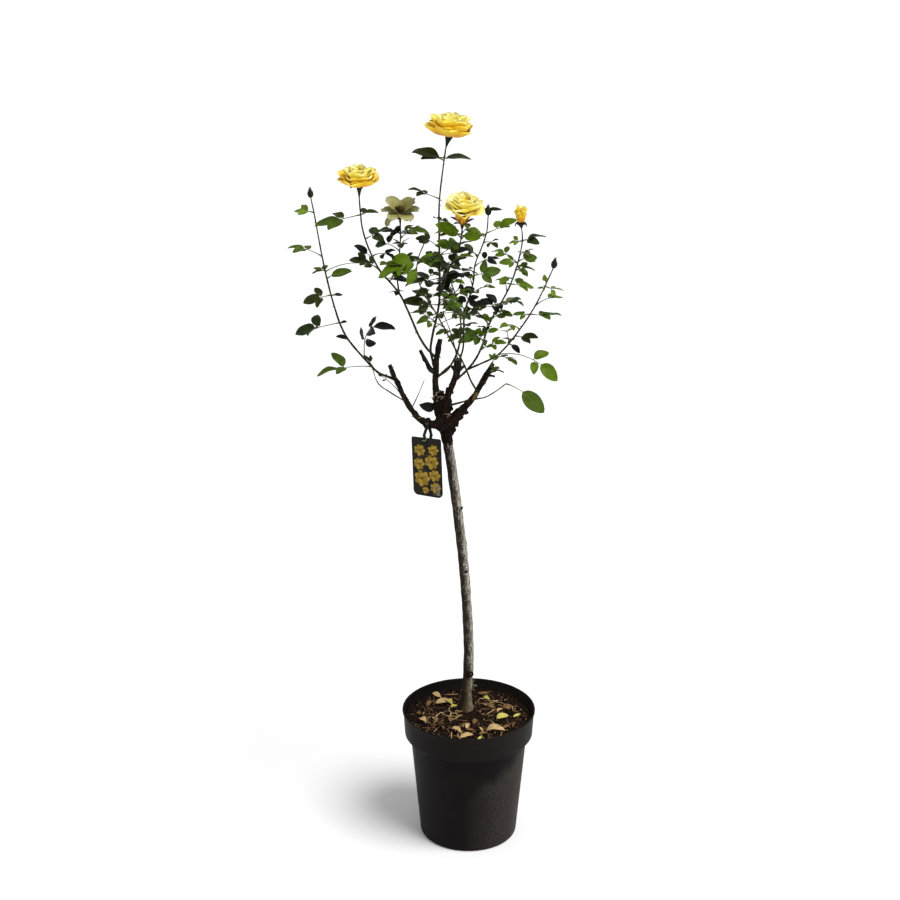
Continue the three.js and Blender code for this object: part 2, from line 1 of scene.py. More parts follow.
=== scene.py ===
"""Looks for the potted standard rose. Bark, canes, shoots, leaves, blooms, compost, pot and label are all
grown from the frame's own solids by seeded rules. Metres, +Z up."""

import math
import random

import bmesh
import bpy
from mathutils import Matrix, Vector, noise


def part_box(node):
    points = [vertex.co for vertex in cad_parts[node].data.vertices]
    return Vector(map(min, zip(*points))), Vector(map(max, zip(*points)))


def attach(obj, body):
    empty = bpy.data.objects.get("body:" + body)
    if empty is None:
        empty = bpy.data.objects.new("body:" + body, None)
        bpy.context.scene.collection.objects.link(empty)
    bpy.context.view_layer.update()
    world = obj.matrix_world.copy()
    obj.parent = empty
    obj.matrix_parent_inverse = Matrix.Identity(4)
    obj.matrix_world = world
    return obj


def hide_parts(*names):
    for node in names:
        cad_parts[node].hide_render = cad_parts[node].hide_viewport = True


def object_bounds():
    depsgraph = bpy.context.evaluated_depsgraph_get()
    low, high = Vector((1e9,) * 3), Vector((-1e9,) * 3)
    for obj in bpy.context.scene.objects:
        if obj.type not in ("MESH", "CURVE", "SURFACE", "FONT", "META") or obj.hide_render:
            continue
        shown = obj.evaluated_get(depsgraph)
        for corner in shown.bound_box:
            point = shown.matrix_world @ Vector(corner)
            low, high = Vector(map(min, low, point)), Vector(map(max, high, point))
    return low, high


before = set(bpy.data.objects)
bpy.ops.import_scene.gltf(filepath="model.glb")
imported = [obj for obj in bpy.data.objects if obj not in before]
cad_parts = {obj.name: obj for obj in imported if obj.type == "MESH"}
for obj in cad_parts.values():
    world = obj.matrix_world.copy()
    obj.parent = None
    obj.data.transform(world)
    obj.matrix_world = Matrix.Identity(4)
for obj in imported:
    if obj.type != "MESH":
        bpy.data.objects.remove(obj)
cad_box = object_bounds()

MM = 0.001
UP = Vector((0, 0, 1))
VIEWER = Vector((0, -1, 0))          # the side that the photograph was taken from
PLANT = "plant"
LABEL = "label"


# ---------------------------------------------------------------- materials
def linear(red, green, blue):
    """A colour written as 0-255 screen values, in the shader's own linear values."""
    def one(value):
        share = value / 255
        return share / 12.92 if share <= 0.04045 else ((share + 0.055) / 1.055) ** 2.4
    return (one(red), one(green), one(blue), 1.0)


def paint(colour):
    """Three screen values as the shader's own; a colour that has been turned already stays as it is."""
    return linear(*colour) if len(colour) == 3 else colour


def shade(colour, factor):
    return tuple(min(1.0, part * factor) for part in paint(colour)[:3]) + (1.0,)


class Nodes:
    """The node tree of a material or of the world."""

    def __init__(self, owner):
        owner.use_nodes = True
        self.nodes = owner.node_tree.nodes
        self.links = owner.node_tree.links

    def parts(self, vector):
        """The vector's X, Y and Z."""
        split = self.nodes.new("ShaderNodeSeparateXYZ")
        self.links.new(vector, split.inputs["Vector"])
        return split.outputs

    def between(self, value, low, high, first=0.0, last=1.0):
        """The value's place from low to high, as a number from first to last."""
        span = self.nodes.new("ShaderNodeMapRange")
        for socket, number in (("From Min", low), ("From Max", high), ("To Min", first), ("To Max", last)):
            span.inputs[socket].default_value = number
        self.links.new(value, span.inputs["Value"])
        return span.outputs["Result"]


class Finish(Nodes):
    """A material whose colour and relief come from noise in object space."""

    def __init__(self, name, roughness, specular):
        self.material = bpy.data.materials.new(name)
        super().__init__(self.material)
        self.shader = self.nodes["Principled BSDF"]
        self.shader.inputs["Roughness"].default_value = roughness
        self.shader.inputs["Specular IOR Level"].default_value = specular
        self.place = self.nodes.new("ShaderNodeTexCoord").outputs["Object"]
        self.height = None

    def noise(self, scale, stretch=(1, 1, 1), detail=4.0):
        mapping = self.nodes.new("ShaderNodeMapping")
        mapping.inputs["Scale"].default_value = stretch
        self.links.new(self.place, mapping.inputs["Vector"])
        texture = self.nodes.new("ShaderNodeTexNoise")
        texture.inputs["Scale"].default_value = scale
        texture.inputs["Detail"].default_value = detail
        self.links.new(mapping.outputs["Vector"], texture.inputs["Vector"])
        return texture.outputs["Fac"]

    def ramp(self, value, stops):
        ramp = self.nodes.new("ShaderNodeValToRGB")
        self.links.new(value, ramp.inputs["Fac"])
        elements = ramp.color_ramp.elements
        while len(elements) < len(stops):
            elements.new(0.5)
        for element, (position, colour) in zip(elements, stops):
            element.position = position
            element.color = paint(colour)
        return ramp.outputs["Color"]

    def mix(self, share, first, second):
        mix = self.nodes.new("ShaderNodeMix")
        mix.data_type = "RGBA"
        self.links.new(share, mix.inputs["Factor"])
        for socket, colour in (("A", first), ("B", second)):
            target = [s for s in mix.inputs if s.name == socket and s.type == "RGBA"][0]
            if isinstance(colour, tuple):
                target.default_value = paint(colour)
            else:
                self.links.new(colour, target)
        return [s for s in mix.outputs if s.type == "RGBA"][0]

    def colour(self, value):
        self.links.new(value, self.shader.inputs["Base Color"])

    def relief(self, value, depth, strength=0.6):
        bump = self.nodes.new("ShaderNodeBump")
        bump.inputs["Distance"].default_value = depth
        bump.inputs["Strength"].default_value = strength
        self.links.new(value, bump.inputs["Height"])
        if self.height is not None:
            self.links.new(self.height, bump.inputs["Normal"])
        self.height = bump.outputs["Normal"]
        self.links.new(self.height, self.shader.inputs["Normal"])

    def join(self, operation, first, second):
        joined = self.nodes.new("ShaderNodeMath")
        joined.operation = operation
        for number, value in enumerate((first, second)):
            if isinstance(value, float):
                joined.inputs[number].default_value = value
            else:
                self.links.new(value, joined.inputs[number])
        return joined.outputs["Value"]

    def mask(self, value, low, high):
        return self.ramp(value, [(low, BLACK), (high, WHITE)])

    def shades(self, value, colour, spread):
        """The colour, darker by the spread where the value is low and lighter where it is high."""
        return self.ramp(value, [(0.3, shade(colour, 1 - spread)), (0.7, shade(colour, 1 + spread))])

    def sum(self, first, second):
        return self.join("ADD", first, second)

    def product(self, first, second):
        return self.join("MULTIPLY", first, second)

    def rough_between(self, value, low, high):
        self.links.new(self.between(value, 0, 1, low, high), self.shader.inputs["Roughness"])


BLACK = linear(0, 0, 0)
WHITE = linear(255, 255, 255)


def mottled(name, colour, roughness, spread=0.25, scale=120, relief=0.0):
    """A plain colour with slight uneven lightness and, where asked, a fine relief."""
    finish = Finish(name, roughness, 0.12)
    finish.colour(finish.shades(finish.noise(scale), colour, spread))
    if relief:
        finish.relief(finish.noise(300), relief)
    return finish.material


def trunk_bark():
    """Grey bark with painted light: paler on its +X side, towards the key light, and near-black in patches on
    the other side as painted shade; browner towards its foot."""
    finish = Finish("trunk_bark", 0.9, 0.08)
    streaks = finish.noise(300, (1, 1, 0.3), 6)
    specks = finish.noise(620, (1, 1, 0.7), 3)
    # painted light and shade: a pale ramp for the lit side and a near-black one for the shaded side, mixed
    # below by how far the surface faces +X, towards the key light
    dark = finish.ramp(streaks, [(0.34, (22, 18, 14)), (0.55, (42, 36, 29)), (0.74, (84, 76, 64))])
    pale = finish.ramp(streaks, [(0.3, (92, 84, 74)), (0.48, (142, 136, 124)), (0.7, (190, 186, 176))])
    surface_normal = finish.nodes["Texture Coordinate"].outputs["Normal"]
    side = finish.between(finish.parts(surface_normal)["X"], -0.6, 1.15)
    blotches = finish.noise(70, (1, 1, 0.4), 4)
    uneven = finish.sum(side, finish.between(blotches, 0.2, 0.8, -0.2, 0.2))
    lit_side_spotted = finish.sum(uneven, finish.between(specks, 0.3, 0.7, -0.4, 0.4))
    painted_light_grey = finish.mix(finish.mask(lit_side_spotted, 0.3, 0.88), dark, pale)
    # the brown at the foot is lit and shaded by the same painted side
    brown = finish.mix(side, (40, 32, 20), (112, 96, 66))
    foot = finish.between(finish.parts(finish.place)["Z"], 0.25, 0.34, 0.75, 0.0)
    finish.colour(finish.mix(foot, painted_light_grey, brown))
    finish.relief(streaks, 0.9 * MM, 0.8)
    finish.relief(specks, 0.35 * MM, 0.5)
    return finish.material


def cane_bark(name, dark, light, ridge):
    finish = Finish(name, 0.85, 0.06)
    streaks = finish.noise(330, (1, 1, 0.3), 5)
    base = finish.ramp(streaks, [(0.32, shade(dark, 0.6)), (0.5, dark), (0.72, light)])
    flecks = finish.noise(210, (1, 1, 0.6), 2)
    finish.colour(finish.mix(finish.mask(flecks, 0.64, 0.74), base, shade(light, 1.35)))
    finish.relief(streaks, ridge, 0.9)
    return finish.material


def leaf_finish(name, colour, roughness):
    finish = Finish(name, roughness, 0.11)
    patches = finish.noise(95, detail=3)
    finish.colour(finish.ramp(patches, [(0.32, shade(colour, 0.7)), (0.55, colour),
                                        (0.75, shade(colour, 1.3))]))
    finish.relief(finish.noise(520, detail=2), 0.25 * MM, 0.5)
    return finish.material


def petal_finish(name, colour):
    finish = Finish(name, 0.7, 0.12)
    finish.shader.inputs["Sheen Weight"].default_value = 0.15
    finish.colour(finish.shades(finish.noise(140, detail=3), colour, 0.06))
    finish.relief(finish.noise(430, (1, 1, 0.4), 2), 0.2 * MM, 0.4)
    return finish.material


DUST_AND_LIGHT_SLOPE = 0.64                    # how steeply the upper edge of the dust and painted sunlight climbs to the right; above it is painted shadow
DUST_AND_LIGHT_HEIGHT = 0.13                   # that edge's height above the ground on the pot's axis


def pot_plastic():
    """Black plastic: dust grains and painted sunlight on its lower right under a slanting painted shadow
    edge, and grains on its collar that brighten to the right as a painted highlight.
    """
    finish = Finish("pot_plastic", 0.5, 0.07)
    scuffs = finish.noise(38, (1, 1, 0.6), 5)
    place = finish.parts(finish.place)
    # painted light: below this slanting edge the pot is lit; above it the plastic is left dark as painted
    # shadow
    edge = finish.sum(finish.product(place["X"], DUST_AND_LIGHT_SLOPE), DUST_AND_LIGHT_HEIGHT)
    under = finish.join("SUBTRACT", edge, place["Z"])
    ragged = finish.sum(under, finish.between(scuffs, 0.2, 0.8, -0.012, 0.012))
    body = finish.product(finish.between(ragged, -0.002, 0.02), finish.between(place["X"], -0.01, 0.05))
    # painted highlight: the collar's grains grow brighter towards its right
    collar = finish.product(finish.between(place["Z"], 0.199, 0.203),
                            finish.between(place["X"], -0.08, 0.12, 0.06, 0.34))
    grains = finish.ramp(finish.noise(700, detail=5), [(0.4, (90, 90, 90)), (0.62, WHITE)])
    dust_and_painted_light = finish.product(finish.join("MAXIMUM", body, collar), finish.product(grains, 0.8))
    plastic = finish.ramp(scuffs, [(0.3, (6, 3, 4)), (0.7, (15, 10, 10))])
    finish.colour(finish.mix(dust_and_painted_light, plastic, (62, 56, 50)))
    finish.rough_between(scuffs, 0.42, 0.66)
    finish.relief(finish.noise(900, detail=2), 0.12 * MM, 0.35)
    return finish.material


def compost():
    finish = Finish("compost", 0.95, 0.05)
    crumbs = finish.noise(420, detail=6)
    earth = finish.ramp(crumbs, [(0.34, (7, 4, 3)), (0.54, (22, 14, 10)), (0.74, (66, 48, 36))])
    flecks = finish.mask(finish.noise(760, detail=1), 0.68, 0.74)
    finish.colour(finish.mix(flecks, earth, (120, 98, 76)))
    finish.relief(crumbs, 1.8 * MM, 0.9)
    return finish.material


# Leaf tones, each with the colour of its upper face and its underside. The deepest and the dark tones are
# painted shade for leaves in the crown's shade, the bright tone is painted sunlight, and the grey tone is a
# painted sheen.
LEAF_TONES = {
    "shaded_deep": ((12, 18, 7), (22, 29, 15)),
    "dark": ((40, 52, 19), (52, 64, 34)),
    "mid": ((65, 87, 17), (78, 98, 40)),
    "sunlit_bright": ((82, 107, 10), (94, 116, 38)),
    "lime": ((96, 122, 28), (106, 130, 54)),
    "olive": ((48, 53, 15), (62, 68, 32)),
    "painted_light_grey": ((88, 100, 64), (92, 106, 74)),
}
# The numbers of each tone's two materials, and the tones whose midrib shows.
TONES = {name: (2 * k, 2 * k + 1) for k, name in enumerate(LEAF_TONES)}
RIBBED = [TONES[name] for name in ("sunlit_bright", "mid", "lime")]
leaf_materials = []
for tone_name, (upper, under) in LEAF_TONES.items():
    leaf_materials.append(leaf_finish("leaf_" + tone_name, upper, 0.46))
    leaf_materials.append(leaf_finish("leaf_under_" + tone_name, under, 0.6))
VEIN = len(leaf_materials)
leaf_materials.append(mottled("leaf_vein", (106, 126, 56), 0.5, 0.1))

PETAL_STEPS = 14
# the petals' own gold, paler to their rims, mixed with painted light: the palest lemon stands for lit tops
# and highlights, the deepest gold for shade
PETAL_TONES_AND_LIGHT = [(220, 156, 14), (242, 204, 42), (249, 226, 82), (250, 237, 126), (250, 243, 180)]
FADED_TONES = [(98, 90, 26), (142, 134, 62), (160, 156, 98), (168, 167, 136)]


def graded(name, tones):
    """A run of close petal finishes from the first tone to the last."""
    finishes = []
    for k in range(PETAL_STEPS):
        place = k / (PETAL_STEPS - 1) * (len(tones) - 1)
        low = min(int(place), len(tones) - 2)
        share = place - low
        mixed = [a + (b - a) * share for a, b in zip(tones[low], tones[low + 1])]
        finishes.append(petal_finish("%s_%d" % (name, k), mixed))
    return finishes


petal_materials = graded("petal", PETAL_TONES_AND_LIGHT)
faded_materials = graded("faded_petal", FADED_TONES)
green_stem = cane_bark("green_stem", (38, 36, 24), (72, 72, 42), 0.12 * MM)
stalk_green = mottled("leaf_stalk", (66, 78, 38), 0.5, 0.25)
calyx_green = mottled("calyx", (27, 36, 16), 0.5, 0.3, 300, 0.2 * MM)
calyx_under = mottled("calyx_under", (62, 78, 46), 0.6, 0.25)
cane_dark = cane_bark("cane_bark", (22, 17, 13), (52, 43, 34), 0.8 * MM)
union_dark = cane_bark("union_bark", (20, 13, 10), (44, 29, 22), 1.3 * MM)
cut_wood = mottled("cut_wood", (70, 58, 46), 0.9, 0.35, 500, 0.3 * MM)
prickle_red = mottled("prickle", (72, 44, 30), 0.5)
dark_anther = mottled("anther", (44, 28, 12), 0.8, 0.4, 900)


# ---------------------------------------------------------------- meshes gathered face by face
SHARP = math.radians(100)            # edges that turn by less are shaded smooth


def add_object(name, data):
    obj = bpy.data.objects.new(name, data)
    bpy.context.scene.collection.objects.link(obj)
    return obj


class Piece:
    """Points and faces for one mesh object; each face keeps the number of its material."""

    def __init__(self):
        self.points = []
        self.faces = []
        self.finishes = []

    def add(self, points, faces, finish=0):
        first = len(self.points)
        self.points.extend(points)
        for face in faces:
            self.faces.append([first + i for i in face])
            self.finishes.append(finish)

    def make(self, name, materials, nodes=(), body=PLANT):
        mesh = bpy.data.meshes.new(name)
        mesh.from_pydata(self.points, [], self.faces)
        for material in materials:
            mesh.materials.append(material)
        mesh.polygons.foreach_set("material_index", self.finishes)
        mesh.polygons.foreach_set("use_smooth", [True] * len(self.faces))
        mesh.update()
        mesh.set_sharp_from_angle(angle=SHARP)
        obj = add_object(name, mesh)
        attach(obj, body)
        if nodes:
            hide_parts(*nodes)


def directions(points):
    last = len(points) - 1
    return [(points[min(i + 1, last)] - points[max(i - 1, 0)]).normalized() for i in range(last + 1)]


def round_pairs(count):
    """Each number below the count with the next one, which is 0 after the last."""
    return [(k, (k + 1) % count) for k in range(count)]


def tube(piece, points, radii, sides, finish=0, relief=None, end_finish=None):
    """A closed tube; relief(point, outward) gives how much further out a corner lies."""
    corners = []
    ways = directions(points)
    normal = ways[0].orthogonal().normalized()
    for centre, radius, along in zip(points, radii, ways):
        normal = (normal - along * normal.dot(along)).normalized()
        side = along.cross(normal)
        for j in range(sides):
            angle = 2 * math.pi * j / sides
            outward = normal * math.cos(angle) + side * math.sin(angle)
            corner = centre + outward * radius
            corners.append(corner + outward * relief(corner, outward) if relief else corner)
    pairs = round_pairs(sides)
    faces = [[i + j, i + k, i + sides + k, i + sides + j]
             for i in range(0, len(corners) - sides, sides) for j, k in pairs]
    piece.add(corners, faces, finish)
    piece.add(corners[:sides] + [points[0]], [[sides, k, j] for j, k in pairs], finish)
    top = points[-1] + ways[-1] * radii[-1] * 0.1
    piece.add(corners[-sides:] + [top], [[sides, j, k] for j, k in pairs],
              finish if end_finish is None else end_finish)


def shell(piece, grid, normals, thickness, finish_of_row, back_of_row=None):
    """A thin closed sheet: the grid's own points on one face, and on the other the inner points moved by the
    thickness; the rim is shared."""
    rows = len(grid) - 1
    columns = len(grid[0]) - 1
    front = {}
    back = {}
    for i in range(rows + 1):
        for j in range(columns + 1):
            front[i, j] = back[i, j] = len(piece.points)
            piece.points.append(grid[i][j])
            if 0 < i < rows and 0 < j < columns:
                back[i, j] = len(piece.points)
                piece.points.append(grid[i][j] - normals[i][j] * thickness)
    for i in range(rows):
        finish = finish_of_row(i / rows)
        back_finish = back_of_row(i / rows) if back_of_row else finish
        for j in range(columns):
            spots = [(i, j), (i, j + 1), (i + 1, j + 1), (i + 1, j)]
            piece.faces.append([front[spot] for spot in spots])
            piece.faces.append([back[spot] for spot in spots[:1] + spots[:0:-1]])
            piece.finishes += [finish, back_finish]


def across_to(direction, wanted):
    """The wanted direction with its part along the other one taken out."""
    left = wanted - direction * wanted.dot(direction)
    return left.normalized() if left.length > 1e-6 else direction.orthogonal().normalized()


def curve_value(a, b, c, d, t):
    """The Catmull-Rom value between b and c, for numbers or points."""
    bend = (a * 2 - b * 5 + c * 4 - d) * (t * t)
    return (b * 2 + (c - a) * t + bend + (b * 3 - a - c * 3 + d) * (t ** 3)) * 0.5


def any_angle(rng):
    return rng.uniform(0, 6.28)


def level_way(bearing, rise=0):
    """A level direction at this bearing from +X, with a rise added."""
    return Vector((math.cos(bearing), math.sin(bearing), rise))


def scatter(rng, amount=1):
    """A vector whose three parts each lie within the amount of 0."""
    return Vector([rng.uniform(-amount, amount) for _ in range(3)])


def smooth_run(values, per_span):
    ends = [values[0] * 2 - values[1]] + values + [values[-1] * 2 - values[-2]]
    run = []
    for i in range(len(values) - 1):
        run.extend(curve_value(*ends[i:i + 4], k / per_span) for k in range(per_span))
    return run + [values[-1]]


# ---------------------------------------------------------------- limbs read from the frame
def read_rings(node):
    """The centres and radii of a limb solid's rings, from its foot to its tip."""
    mesh = bmesh.new()
    mesh.from_mesh(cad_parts[node].data)
    bmesh.ops.remove_doubles(mesh, verts=mesh.verts, dist=0.002 * MM)
    mesh.verts.index_update()
    caps = []
    for vertex in mesh.verts:
        first = vertex.link_faces[0].normal
        if all(face.normal.dot(first) > 0.9999 for face in vertex.link_faces):
            caps.append(vertex)
    level = [min(caps, key=lambda vertex: vertex.co.z)]
    seen = set(level)
    centres = []
    radii = []
    while True:
        reached = {edge.other_vert(vertex) for vertex in level for edge in vertex.link_edges} - seen
        level = sorted(reached, key=lambda vertex: vertex.index)
        if len(level) < 3:
            break
        centre = sum((vertex.co for vertex in level), Vector()) / len(level)
        centres.append(centre)
        radii.append(sum((vertex.co - centre).length for vertex in level) / len(level))
        seen |= reached
    mesh.free()
    return centres, radii


class Limb:
    def __init__(self, node, step):
        centres, radii = read_rings(node)
        per_span = max(1, round((centres[1] - centres[0]).length / step))
        self.node = node
        self.points = smooth_run(centres, per_span)
        self.radii = smooth_run(radii, per_span)

    def nearest(self, point):
        return min(range(len(self.points)), key=lambda i: (self.points[i] - point).length_squared)

    def at_height(self, height):
        return min(range(len(self.points)), key=lambda i: abs(self.points[i].z - height))

    def along(self, i):
        return (self.points[i + 1] - self.points[i - 1]).normalized()

    def tip(self):
        return self.points[-1]

    def tip_direction(self):
        return (self.points[-1] - self.points[-3]).normalized()


def draw_limb(piece, limb, sides, relief, root, flare, flare_length, end_finish=None):
    """The limb's skin. It starts a little inside what carries it, with a slight swelling there."""
    start = limb.points[0] - (limb.points[1] - limb.points[0]).normalized() * root
    points = [start] + limb.points
    swollen = []
    run = 0.0
    before = start
    for point, radius in zip(points, [limb.radii[0]] + limb.radii):
        run += (point - before).length
        before = point
        swollen.append(radius * (1 + flare * math.exp(-run / flare_length)))
    tube(piece, points, swollen, sides, 0, relief, end_finish)


def rough_bark(seed, coarse, fine):
    """Relief in lengthwise ridges and lumps."""
    shift = Vector((seed * 3.7, seed * 1.9, seed * 5.3))

    def uneven(corner, across, along):
        return noise.noise(Vector((corner.x * across, corner.y * across, corner.z * along)) + shift)

    def relief(corner, _):
        return coarse * uneven(corner, 90, 55) + fine * uneven(corner, 420, 70)
    return relief


# Knots on the stem: height in mm, bearing from +X in degrees, reach along the stem and swelling in mm.
TRUNK_KNOTS = [(305.6, -72, 9, 2.6), (325, 150, 7, 1.2), (424, -60, 8, 1.8), (511.5, -70, 7, 1.6),
               (560, 20, 9, 1.5), (633, -40, 7, 1.8), (753.8, -50, 8, 1.8)]
KNOT_WIDTH = 48                      # degrees round the limb
TRUNK_FULLNESS = 1.06                # the frame's ten-sided stem is a little thinner than the round one


def cane_knots(limb, rng):
    """Old buds and healed scars every two or three centimetres up a cane."""
    knots = []
    i = rng.randint(2, 6)
    while i < len(limb.points):
        knots.append((limb.points[i].z / MM, rng.uniform(-180, 180), rng.uniform(4, 8), rng.uniform(1, 2.6)))
        i += rng.randint(4, 10)
    return knots


def knotty(bark, knots):
    """The bark's relief with a swollen ring round each knot's sunken middle."""
    def relief(corner, outward):
        out = bark(corner, outward)
        bearing = math.degrees(math.atan2(outward.y, outward.x))
        for height, knot_bearing, reach, swelling in knots:
            turn = (bearing - knot_bearing + 180) % 360 - 180
            off = math.hypot((corner.z / MM - height) / reach, turn / KNOT_WIDTH)
            if off < 2:
                out += swelling * MM * (math.exp(-2.2 * off * off) - 0.35 * math.exp(-9 * off * off))
        return out
    return relief


TRUNK_STEP = 2.4 * MM
LIMB_STEP = 3 * MM
limbs = {"trunk": Limb("trunk", TRUNK_STEP)}
for node_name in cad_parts:
    if node_name.endswith(("_cane", "_shoot", "_stub", "_twig")):
        limbs[node_name] = Limb(node_name, LIMB_STEP)


# Dark scars on the stem where side shoots were cut off: place and width in mm.
TRUNK_SCARS = [((4, 4, 305.6), 16), ((-7.4, 8, 511.5), 7), ((-14.8, 2, 633), 7), ((-33, -6, 753.8), 9)]
SCAR_LUMPS = 9                       # one in the middle of each scar, the others round it


def draw_scar(piece, limb, place, width, rng):
    """A patch of small dark lumps that stands a little out of the bark."""
    i = limb.nearest(place)
    outward = across_to(limb.along(i), place - limb.points[i])
    middle = limb.points[i] + outward * (limb.radii[i] + 1 * MM)
    side = outward.cross(UP).normalized()
    for k in range(SCAR_LUMPS):
        angle = 2 * math.pi * k / SCAR_LUMPS
        reach = 0.36 * width if k else 0.0
        spot = middle + (side * math.cos(angle) + UP * 0.75 * math.sin(angle)) * reach
        size = width * rng.uniform(0.13, 0.24)
        way = outward * size * 0.8
        tube(piece, [spot - way, spot - way * 0.4, spot + way * 0.4, spot + way],
             [size * 0.7, size, size * 0.8, size * 0.3], 7, 1)


def make_trunk():
    piece = Piece()
    limbs["trunk"].radii = [radius * TRUNK_FULLNESS for radius in limbs["trunk"].radii]
    relief = knotty(rough_bark(1, 0.7 * MM, 0.55 * MM), TRUNK_KNOTS)
    draw_limb(piece, limbs["trunk"], 40, relief, 1.5 * MM, 0.12, 5 * MM)
    rng = random.Random(12)
    for place, width in TRUNK_SCARS:
        draw_scar(piece, limbs["trunk"], Vector(place) * MM, width * MM, rng)
    piece.make("trunk_skin", [trunk_bark(), union_dark], ["trunk"])


LONGEST_SPUR = 9 * MM


def draw_spur(piece, limb, i, rng):
    """The stump of a shoot that was pruned away, with its pale cut end."""
    along = limb.along(i)
    outward = across_to(along, scatter(rng))
    way = (outward + along * rng.uniform(0.2, 0.9)).normalized()
    start = limb.points[i] + outward * limb.radii[i] * 0.3
    length = limb.radii[i] + rng.uniform(0.35, 1) * LONGEST_SPUR
    thick = min(0.55 * limb.radii[i], 3 * MM) * rng.uniform(0.7, 1)
    path = [start + way * length * share for share in (0, 0.3, 0.6, 0.85, 1)]
    tube(piece, path, [thick * 1.5, thick * 1.3, thick, thick * 1.05, thick * 0.9], 10, 0,
         rough_bark(i, 0.3 * MM, 0.2 * MM), 1)


CENTRE_FULLNESS = 1.2                # the centre cane is stouter than its solid


def make_canes():
    names = [name for name in limbs if name.endswith(("_cane", "_stub"))]
    for number, name in enumerate(names):
        rng = random.Random(300 + number)
        piece = Piece()
        limb = limbs[name]
        relief = knotty(rough_bark(number + 2, 1.5 * MM, 0.6 * MM), cane_knots(limb, rng))
        if name == "centre_cane":
            limb.radii = [radius * CENTRE_FULLNESS for radius in limb.radii]
        draw_limb(piece, limb, 22, relief, 4 * MM, 0.3, 14 * MM, end_finish=1)
        if name != "pruned_stub":
            for _ in range(2):
                draw_spur(piece, limb, rng.randint(8, len(limb.points) - 4), rng)
        piece.make(name + "_bark", [cane_dark, cut_wood], [name])


# The burl's chief lumps: place from the middle of the graft's solid, and radius, in mm.
UNION_LUMPS = [((0, 0, 3), 14), ((5, -3, -7), 11), ((-7, 0, 8), 11)]
# Those between the centre and middle canes: place to the right and up, and radius, in mm.
SEAM_LUMPS = [(1, -8, 9.5), (-2, 3, 8.5), (3, 13, 7), (-3, 23, 5)]
BURL_REACH = 14                      # how many of a cane's points the burl climbs
BURL_GRAIN = 1.1 * MM


def make_union():
    """The graft: lumps round the stem's head and the feet of the canes, melted into one knotty burl."""
    rng = random.Random(5)
    low, high = [Vector(corner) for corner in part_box("graft_union")]
    centre = (low + high) / 2
    lumps = [(centre + Vector(place) * MM, radius * MM) for place, radius in UNION_LUMPS]
    trunk = limbs["trunk"]
    for back in range(1, 9, 2):
        lumps.append((trunk.points[-back], trunk.radii[-back] + (3.2 - 0.35 * back) * MM))
    for name in ("left_cane", "centre_cane", "mid_cane", "right_cane"):
        cane = limbs[name]
        for i in range(BURL_REACH):
            lumps.append((cane.points[i], cane.radii[i] + 4.6 * MM * (1 - i / BURL_REACH)))
    between = (limbs["centre_cane"].points[7] + limbs["mid_cane"].points[5]) / 2
    lumps += [(between + Vector((aside, 0, rise)) * MM, radius * MM) for aside, rise, radius in SEAM_LUMPS]
    for place, radius in list(lumps):
        for _ in range(3):
            way = scatter(rng).normalized()
            lumps.append((place + way * radius * rng.uniform(0.8, 1.15), rng.uniform(1.6, 4.4) * MM))
    mesh = bmesh.new()
    for place, radius in lumps:
        bmesh.ops.create_icosphere(mesh, subdivisions=2, radius=radius, matrix=Matrix.Translation(place))
    data = bpy.data.meshes.new("union_lumps")
    mesh.to_mesh(data)
    mesh.free()
    lump_object = add_object("union_lumps", data)
    remesh = lump_object.modifiers.new("remesh", "REMESH")
    remesh.mode = "VOXEL"
    remesh.voxel_size = BURL_GRAIN
    smooth = lump_object.modifiers.new("smooth", "SMOOTH")
    smooth.factor = 0.5
    smooth.iterations = 3
    depsgraph = bpy.context.evaluated_depsgraph_get()
    solid = bpy.data.meshes.new_from_object(lump_object.evaluated_get(depsgraph))
    bpy.data.objects.remove(lump_object)
    points = []
    for vertex in solid.vertices:
        p = vertex.co
        warts = noise.noise(p * 85) * 3.0 + noise.noise(p * 230 + Vector((7, 1, 3))) * 2.4
        points.append(p + vertex.normal * warts * MM)
    piece = Piece()
    piece.add(points, [list(polygon.vertices) for polygon in solid.polygons])
    piece.make("graft_burl", [union_dark], ["graft_union"])


SHOOT_SLIMMING = 0.84                # the frame's shoots are a little fuller than the real ones


def make_shoots():
    names = [name for name in limbs if name.endswith(("_shoot", "_twig"))]
    piece = Piece()
    for number, name in enumerate(names):
        limb = limbs[name]
        limb.radii = [radius * SHOOT_SLIMMING for radius in limb.radii]
        draw_limb(piece, limb, 9, rough_bark(number + 20, 0.3 * MM, 0.1 * MM), 2.5 * MM, 0.45, 5 * MM)
    piece.make("green_shoots_skin", [green_stem], names)


# Thin leafless side twigs, each a short run of places from a cane or shoot outwards, and its radius, in mm.
BARE_TWIGS = [
    ([(-99, -18, 822), (-88, -26, 848), (-77, -34, 877)], 1.1),
    ([(-106, -20, 832), (-137, -14, 850), (-156, -10, 864), (-166, -13, 895)], 1.4),
    ([(-54, 10, 869), (-41, -2, 887), (-29, -12, 901)], 1.5),
    ([(32, 27, 866), (46, 24, 877), (58, 18, 875)], 2.0),
    ([(-17, -8, 918), (-32, 10, 944), (-45, 30, 975)], 1.3),
    ([(-31, 0, 820), (-14, -6, 829), (0, -2, 832)], 2.2),
    ([(-38, 12, 1000), (-22, 2, 1022), (-14, -14, 1050)], 1.1),
    ([(20, 60, 960), (2, 44, 988), (-8, 30, 1010)], 1.2),
    ([(62, 64, 960), (44, 50, 984), (34, 30, 1004)], 1.1),
]


# Dry scraps caught on the bark, each place in mm, and the old scar on the right cane's front.
SCRAPS = [(-61, -6, 838), (-48, -10, 840), (-58, -2, 845), (8, 11, 827), (-36, -10, 810), (-82, -17, 806)]
SCAR = [(5, 5.5, 828), (8.5, 7.5, 835), (12.5, 9, 842)]


